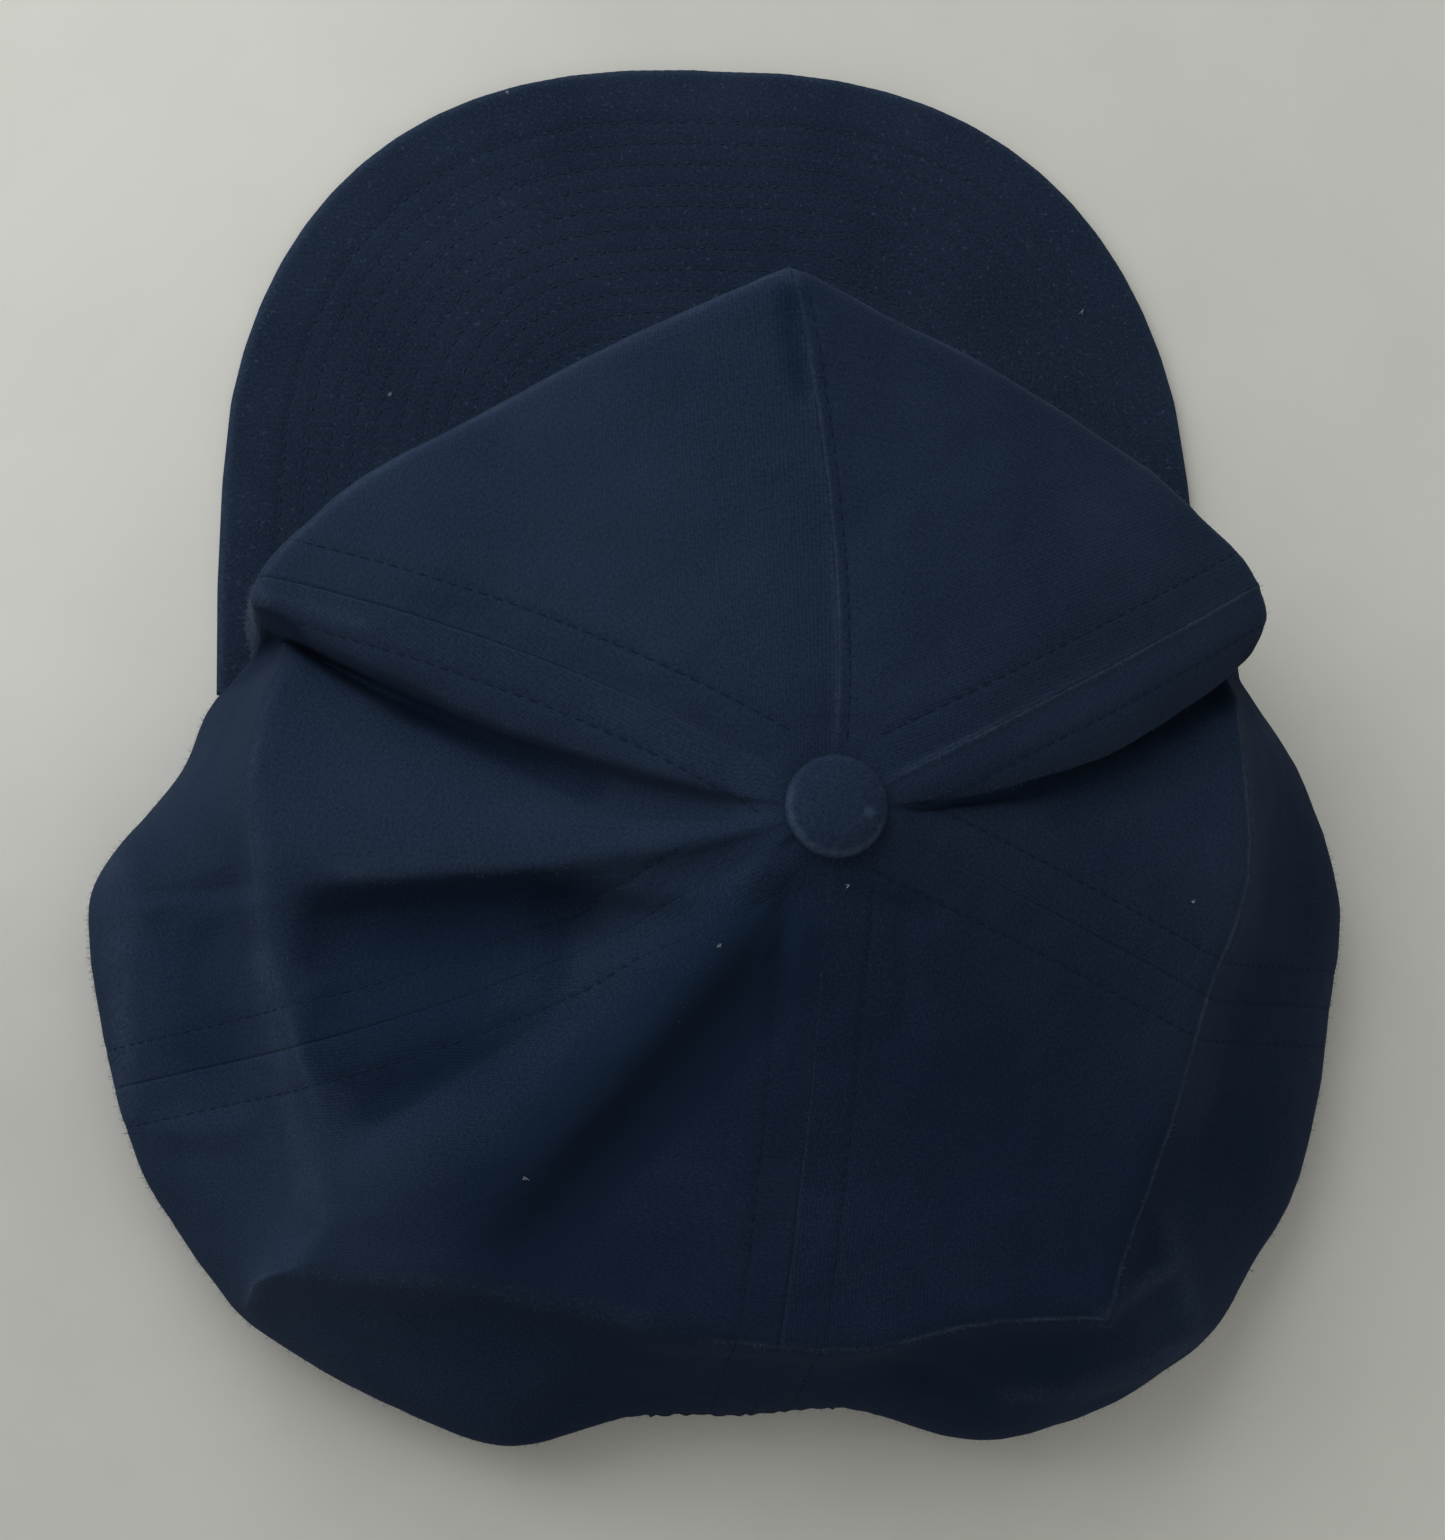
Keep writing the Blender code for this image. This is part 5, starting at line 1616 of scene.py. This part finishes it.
def strand(points, thickness):
    """A thin three-sided thread along points, finer at its ends: its corners and faces."""
    points = np.asarray(points, float)
    way = np.gradient(points, axis=0)
    way /= np.maximum(size_of(way, True), TINY)
    side = np.cross(way, (0.0, 0.0, 1.0)) + (1e-6, 0, 0)
    side /= size_of(side, True)
    up = np.cross(side, way)
    taper = 1 - 0.7 * np.linspace(-1, 1, len(points)) ** 2
    radius = (thickness / 2 * taper)[:, None]
    turns = np.radians((0, 120, 240))
    corners = [points + radius * (side * math.cos(turn) + up * math.sin(turn)) for turn in turns]
    corners = np.stack(corners, axis=1).reshape(-1, 3)
    last = len(corners) - 3
    faces = []
    for first in range(0, last, 3):
        for a, b in ((0, 1), (1, 2), (2, 0)):
            faces.append((first + a, first + b, first + b + 3, first + a + 3))
    faces += [(2, 1, 0), (last, last + 1, last + 2)]
    return corners, faces


def strands_piece(name, strands, material):
    """One piece of many thin strands, each given as its points and thickness."""
    corners, faces = [], []
    for points, thickness in strands:
        part, sides = strand(points, thickness)
        part[:, 2] = np.maximum(part[:, 2], 0.0)
        start = len(corners)
        corners += list(part)
        faces += [[start + k for k in side] for side in sides]
    piece = mesh_piece(name, corners, [], faces)
    piece.data.materials.append(material)
    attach(piece, BODY)


def wandering(rng, start, way, length, bend, points=5):
    """Points of a fibre that starts one way and wanders."""
    spot, line = Vector(start), [tuple(start)]
    way = Vector(way).normalized()
    for _ in range(points - 1):
        turn = Vector([rng.uniform(-1, 1) for _ in range(3)])
        way = (way + turn * bend).normalized()
        spot = spot + way * (length / (points - 1))
        line.append(tuple(spot))
    return line


def fibre_material(name, colour):
    material, nodes = blank_material(name)
    tint = nodes.noise(nodes.place(), 300, 2, 0.5, "uneven fibres")
    shade = nodes.mix(nodes.ramp(tint, 0.3, 0.7), opaque(colour, 0.7), opaque(colour))
    nodes.shader("fibre", {"Base Color": shade, "Roughness": 0.9, "Specular IOR Level": 0.1})
    return material


# Lint that lies on the cap: its place from above and its breadth.
LINT = (
    (11.5 * MM, 43.4 * MM, 0.55 * MM),
    (40.7 * MM, 78.3 * MM, 0.60 * MM),
    (58.2 * MM, -63.4 * MM, 0.50 * MM),
    (-71.1 * MM, -79.9 * MM, 0.60 * MM),
    (35.8 * MM, -120.2 * MM, 0.40 * MM),
    (-7.5 * MM, 34.6 * MM, 0.50 * MM),
    (-87.0 * MM, -20.5 * MM, 0.60 * MM),
    (-70.5 * MM, 36.5 * MM, 0.40 * MM),
)
# Loose ends of thread at the left: where each starts, where it heads and its length.
LOOSE_THREADS = (
    (0.1060, 0.0541, 0.8, 0.6, 4.5 * MM),
    (0.1025, 0.0677, 1.0, 0.1, 4.0 * MM),
    (0.1035, 0.0660, 0.7, 0.9, 3.0 * MM),
)
# How far a speck looks for the cloth under it, its fibres, how far they rest off the cloth, and
# the thickness of a fibre and of a loose thread.
REST_REACH, REST_GAP = 1.2 * MM, 0.1 * MM
FIBRES_A_SPECK = 12
FIBRE_THICKNESS, LOOSE_THICKNESS = 0.10 * MM, 0.16 * MM
# Fuzz: how much likelier it grows at the belly's turn, how far it roots and how it leans.
FUZZ_AT_BELLY, FUZZ_ROOT, FUZZ_LEAN = 0.35, 0.05 * MM, 0.9


class CAP_OT_lint(bpy.types.Operator):
    """Scatter the lint, the loose ends of thread and the fuzz of the rubbed edges"""

    bl_idname = "cap.lint"
    bl_label = "Lint and fuzz"

    def execute(self, context):
        settings = context.scene.cap_lint
        sheet = crown()
        rng = random.Random(settings.seed)
        flat = sheet.surface.reshape(-1, 3)
        normals = sheet.normals.reshape(-1, 3)

        def resting(x, y):
            """The top of the cloth at a place from above, and its direction."""
            near = np.flatnonzero(np.hypot(flat[:, 0] - x, flat[:, 1] - y) < REST_REACH)
            if len(near):
                top = near[flat[near, 2].argmax()]
                return Vector(flat[top]), Vector(normals[top])
            top = peak_sheet().underside(x) + PEAK_THICKNESS + REST_GAP
            return Vector((x, y, top)), Vector((0, 0, 1))

        specks = []
        for x, y, breadth in LINT:
            spot, normal = resting(x, y)
            for _ in range(FIBRES_A_SPECK):
                shift = Vector((rng.uniform(-1, 1), rng.uniform(-1, 1), 0)) * breadth * 0.35
                way = Vector((rng.uniform(-1, 1), rng.uniform(-1, 1), 0.5))
                start = spot + shift + normal * REST_GAP
                specks.append((wandering(rng, start, way, breadth, 1.4), FIBRE_THICKNESS))
        strands_piece("lint_specks", specks, fibre_material("pale lint", settings.lint))

        threads = []
        for x, y, across, along, length in LOOSE_THREADS:
            start, _ = resting(x, y)
            thread = wandering(rng, start, (across, along, 0.1), length, 0.35, 8)
            threads.append((thread, LOOSE_THICKNESS))
        navy = fibre_material("loose navy thread", context.scene.cap_cloth.dye)
        strands_piece("loose_threads", threads, navy)

        likely = np.clip(sheet.worn * 1.1, 0, 1)
        likely[:, BELLY_ROW - 4 : BELLY_ROW + 2] += FUZZ_AT_BELLY
        likely = likely.reshape(-1) * (size_of(normals) > 0.5)
        likely = likely / likely.sum()
        picks = np.searchsorted(np.cumsum(likely), [rng.random() for _ in range(settings.fuzz)])
        fuzz = []
        for pick in np.minimum(picks, len(flat) - 1):
            normal = Vector(normals[pick])
            way = normal + Vector([rng.uniform(-1, 1) for _ in range(3)]) * FUZZ_LEAN
            length = settings.fuzz_length * rng.uniform(0.4, 1.3)
            start = Vector(flat[pick]) - normal * FUZZ_ROOT
            fuzz.append((wandering(rng, start, way, length, 0.7, 4), settings.fuzz_thickness))
        strands_piece("edge_fuzz", fuzz, fibre_material("cotton fuzz", settings.fuzz_colour))
        return {"FINISHED"}


# The photograph's camera: its place, the ways it looks and has its top, its lens and its sensor.
CAMERA_AT = Vector((0.075762, 0.074374, 0.5404))
CAMERA_FORWARD = Vector((-0.13961109, -0.12575521, -0.98218856))
CAMERA_UP = Vector((-0.01267331, -0.99159468, 0.12876095))
CAMERA_LENS, CAMERA_SENSOR, CAMERA_NEAR = 70.64, 36.0, 0.01
FLOOR_SIZE = 6.0
# The floor's palest and darkest tones as shares of its colour, which its soft patches and painted
# light and shade reach, and its tone between them.
FLOOR_PALE, FLOOR_DIM, FLOOR_TONE = 1.10, 0.85, 0.53
ROOM_COLOUR = (1.0, 0.985, 0.95, 1.0)


def floor_material(colour):
    """A pale floor with soft patches, and painted light and shade at the wearer's left: paler in front
    and dimmer behind.
    """
    material, nodes = blank_material("pale floor")
    place = nodes.place()
    grain = nodes.ramp(nodes.noise(place, 35, 4, 0.6), 0.3, 0.7, -0.07, 0.07)
    across, along, _ = nodes.apart(place, "place on the floor")
    # Painted light and shade: paler at the wearer's left in front, dimmer behind, fading out away from
    # the cap.
    tint = nodes.ramp(across, 0.0, 80 * MM)
    for way in (across, along):
        far = nodes.math("ABSOLUTE", way)
        tint = nodes.times(tint, nodes.ramp(far, 160 * MM, 420 * MM, 1.0, 0.0))
    tint = nodes.times(tint, nodes.ramp(along, -20 * MM, 70 * MM, 0.45, -0.45))
    tone = nodes.mix(
        nodes.plus(tint, FLOOR_TONE, grain), opaque(colour, FLOOR_DIM), opaque(colour, FLOOR_PALE)
    )
    nodes.shader("", {"Base Color": tone, "Roughness": 0.75})
    return material


class CAP_OT_stage(bpy.types.Operator):
    """Set the floor, the soft lights and the camera"""

    bl_idname = "cap.stage"
    bl_label = "Stage"

    def execute(self, context):
        scene, settings = context.scene, context.scene.cap_stage
        deselect_all()
        bpy.ops.mesh.primitive_plane_add(size=FLOOR_SIZE)
        floor = context.object
        floor.name = "floor"
        floor.data.materials.append(floor_material(settings.floor))
        lights = (
            ("key light", (0.66, -0.86, 0.78), 1.60, settings.key_power, (0.97, 0.99, 1.0)),
            ("overhead light", (0.66, -0.52, 0.80), 1.20, settings.fill_power, (0.98, 1.0, 1.0)),
        )
        for name, place, size, power, colour in lights:
            bpy.ops.object.light_add(type="AREA", location=place)
            light = context.object
            light.name = name
            light.data.shape = "DISK"
            light.data.size = size
            light.data.energy = power
            light.data.color = colour
            light.rotation_euler = (-Vector(place)).to_track_quat("-Z", "Y").to_euler()
        scene.world = bpy.data.worlds.new("room")
        scene.world.use_nodes = True
        background = scene.world.node_tree.nodes["Background"]
        background.inputs["Color"].default_value = ROOM_COLOUR
        background.inputs["Strength"].default_value = settings.world
        bpy.ops.object.camera_add(location=CAMERA_AT)
        camera = context.object
        camera.name = "camera"
        camera.data.lens = CAMERA_LENS
        camera.data.sensor_width = CAMERA_SENSOR
        camera.data.clip_start = CAMERA_NEAR
        right = CAMERA_FORWARD.cross(CAMERA_UP).normalized()
        turned = Matrix((right, right.cross(CAMERA_FORWARD), -CAMERA_FORWARD)).transposed()
        camera.matrix_world = Matrix.Translation(CAMERA_AT) @ turned.to_4x4()
        scene.camera = camera
        scene.view_settings.view_transform = "Standard"
        return {"FINISHED"}


class CAP_PT_sidebar(bpy.types.Panel):
    """The cap's pieces and stage"""

    bl_label = "Six-panel cap"
    bl_idname = "CAP_PT_sidebar"
    bl_space_type = "VIEW_3D"
    bl_region_type = "UI"
    bl_category = "Cap"

    def draw(self, context):
        for settings in SETTINGS:
            box = self.layout.box()
            group = getattr(context.scene, settings)
            for name in group.bl_rna.properties.keys():
                if name not in ("rna_type", "name"):
                    box.prop(group, name)
        for operator in OPERATORS:
            self.layout.operator(operator.bl_idname)


SETTINGS = {
    "cap_crown": CapCrownSettings,
    "cap_cloth": CapClothSettings,
    "cap_thread": CapThreadSettings,
    "cap_peak": CapPeakSettings,
    "cap_band": CapBandSettings,
    "cap_button": CapButtonSettings,
    "cap_lint": CapLintSettings,
    "cap_stage": CapStageSettings,
}
OPERATORS = (
    CAP_OT_crown_panels,
    CAP_OT_elastic_band,
    CAP_OT_peak,
    CAP_OT_top_button,
    CAP_OT_crown_stitches,
    CAP_OT_peak_stitches,
    CAP_OT_lint,
    CAP_OT_stage,
)


def register():
    for name, group in SETTINGS.items():
        bpy.utils.register_class(group)
        setattr(bpy.types.Scene, name, PointerProperty(type=group))
    for cls in OPERATORS:
        bpy.utils.register_class(cls)
    bpy.utils.register_class(CAP_PT_sidebar)


def unregister():
    bpy.utils.unregister_class(CAP_PT_sidebar)
    for cls in reversed(OPERATORS):
        bpy.utils.unregister_class(cls)
    for name, group in reversed(SETTINGS.items()):
        delattr(bpy.types.Scene, name)
        bpy.utils.unregister_class(group)


def main():
    register()
    build_twill_group()
    build_wear_group()
    build_row_group()
    bpy.ops.cap.stage()
    bpy.ops.cap.crown_panels()
    bpy.ops.cap.elastic_band()
    bpy.ops.cap.peak()
    bpy.ops.cap.top_button()
    bpy.ops.cap.crown_stitches()
    bpy.ops.cap.peak_stitches()
    bpy.ops.cap.lint()


if __name__ == "__main__":
    main()
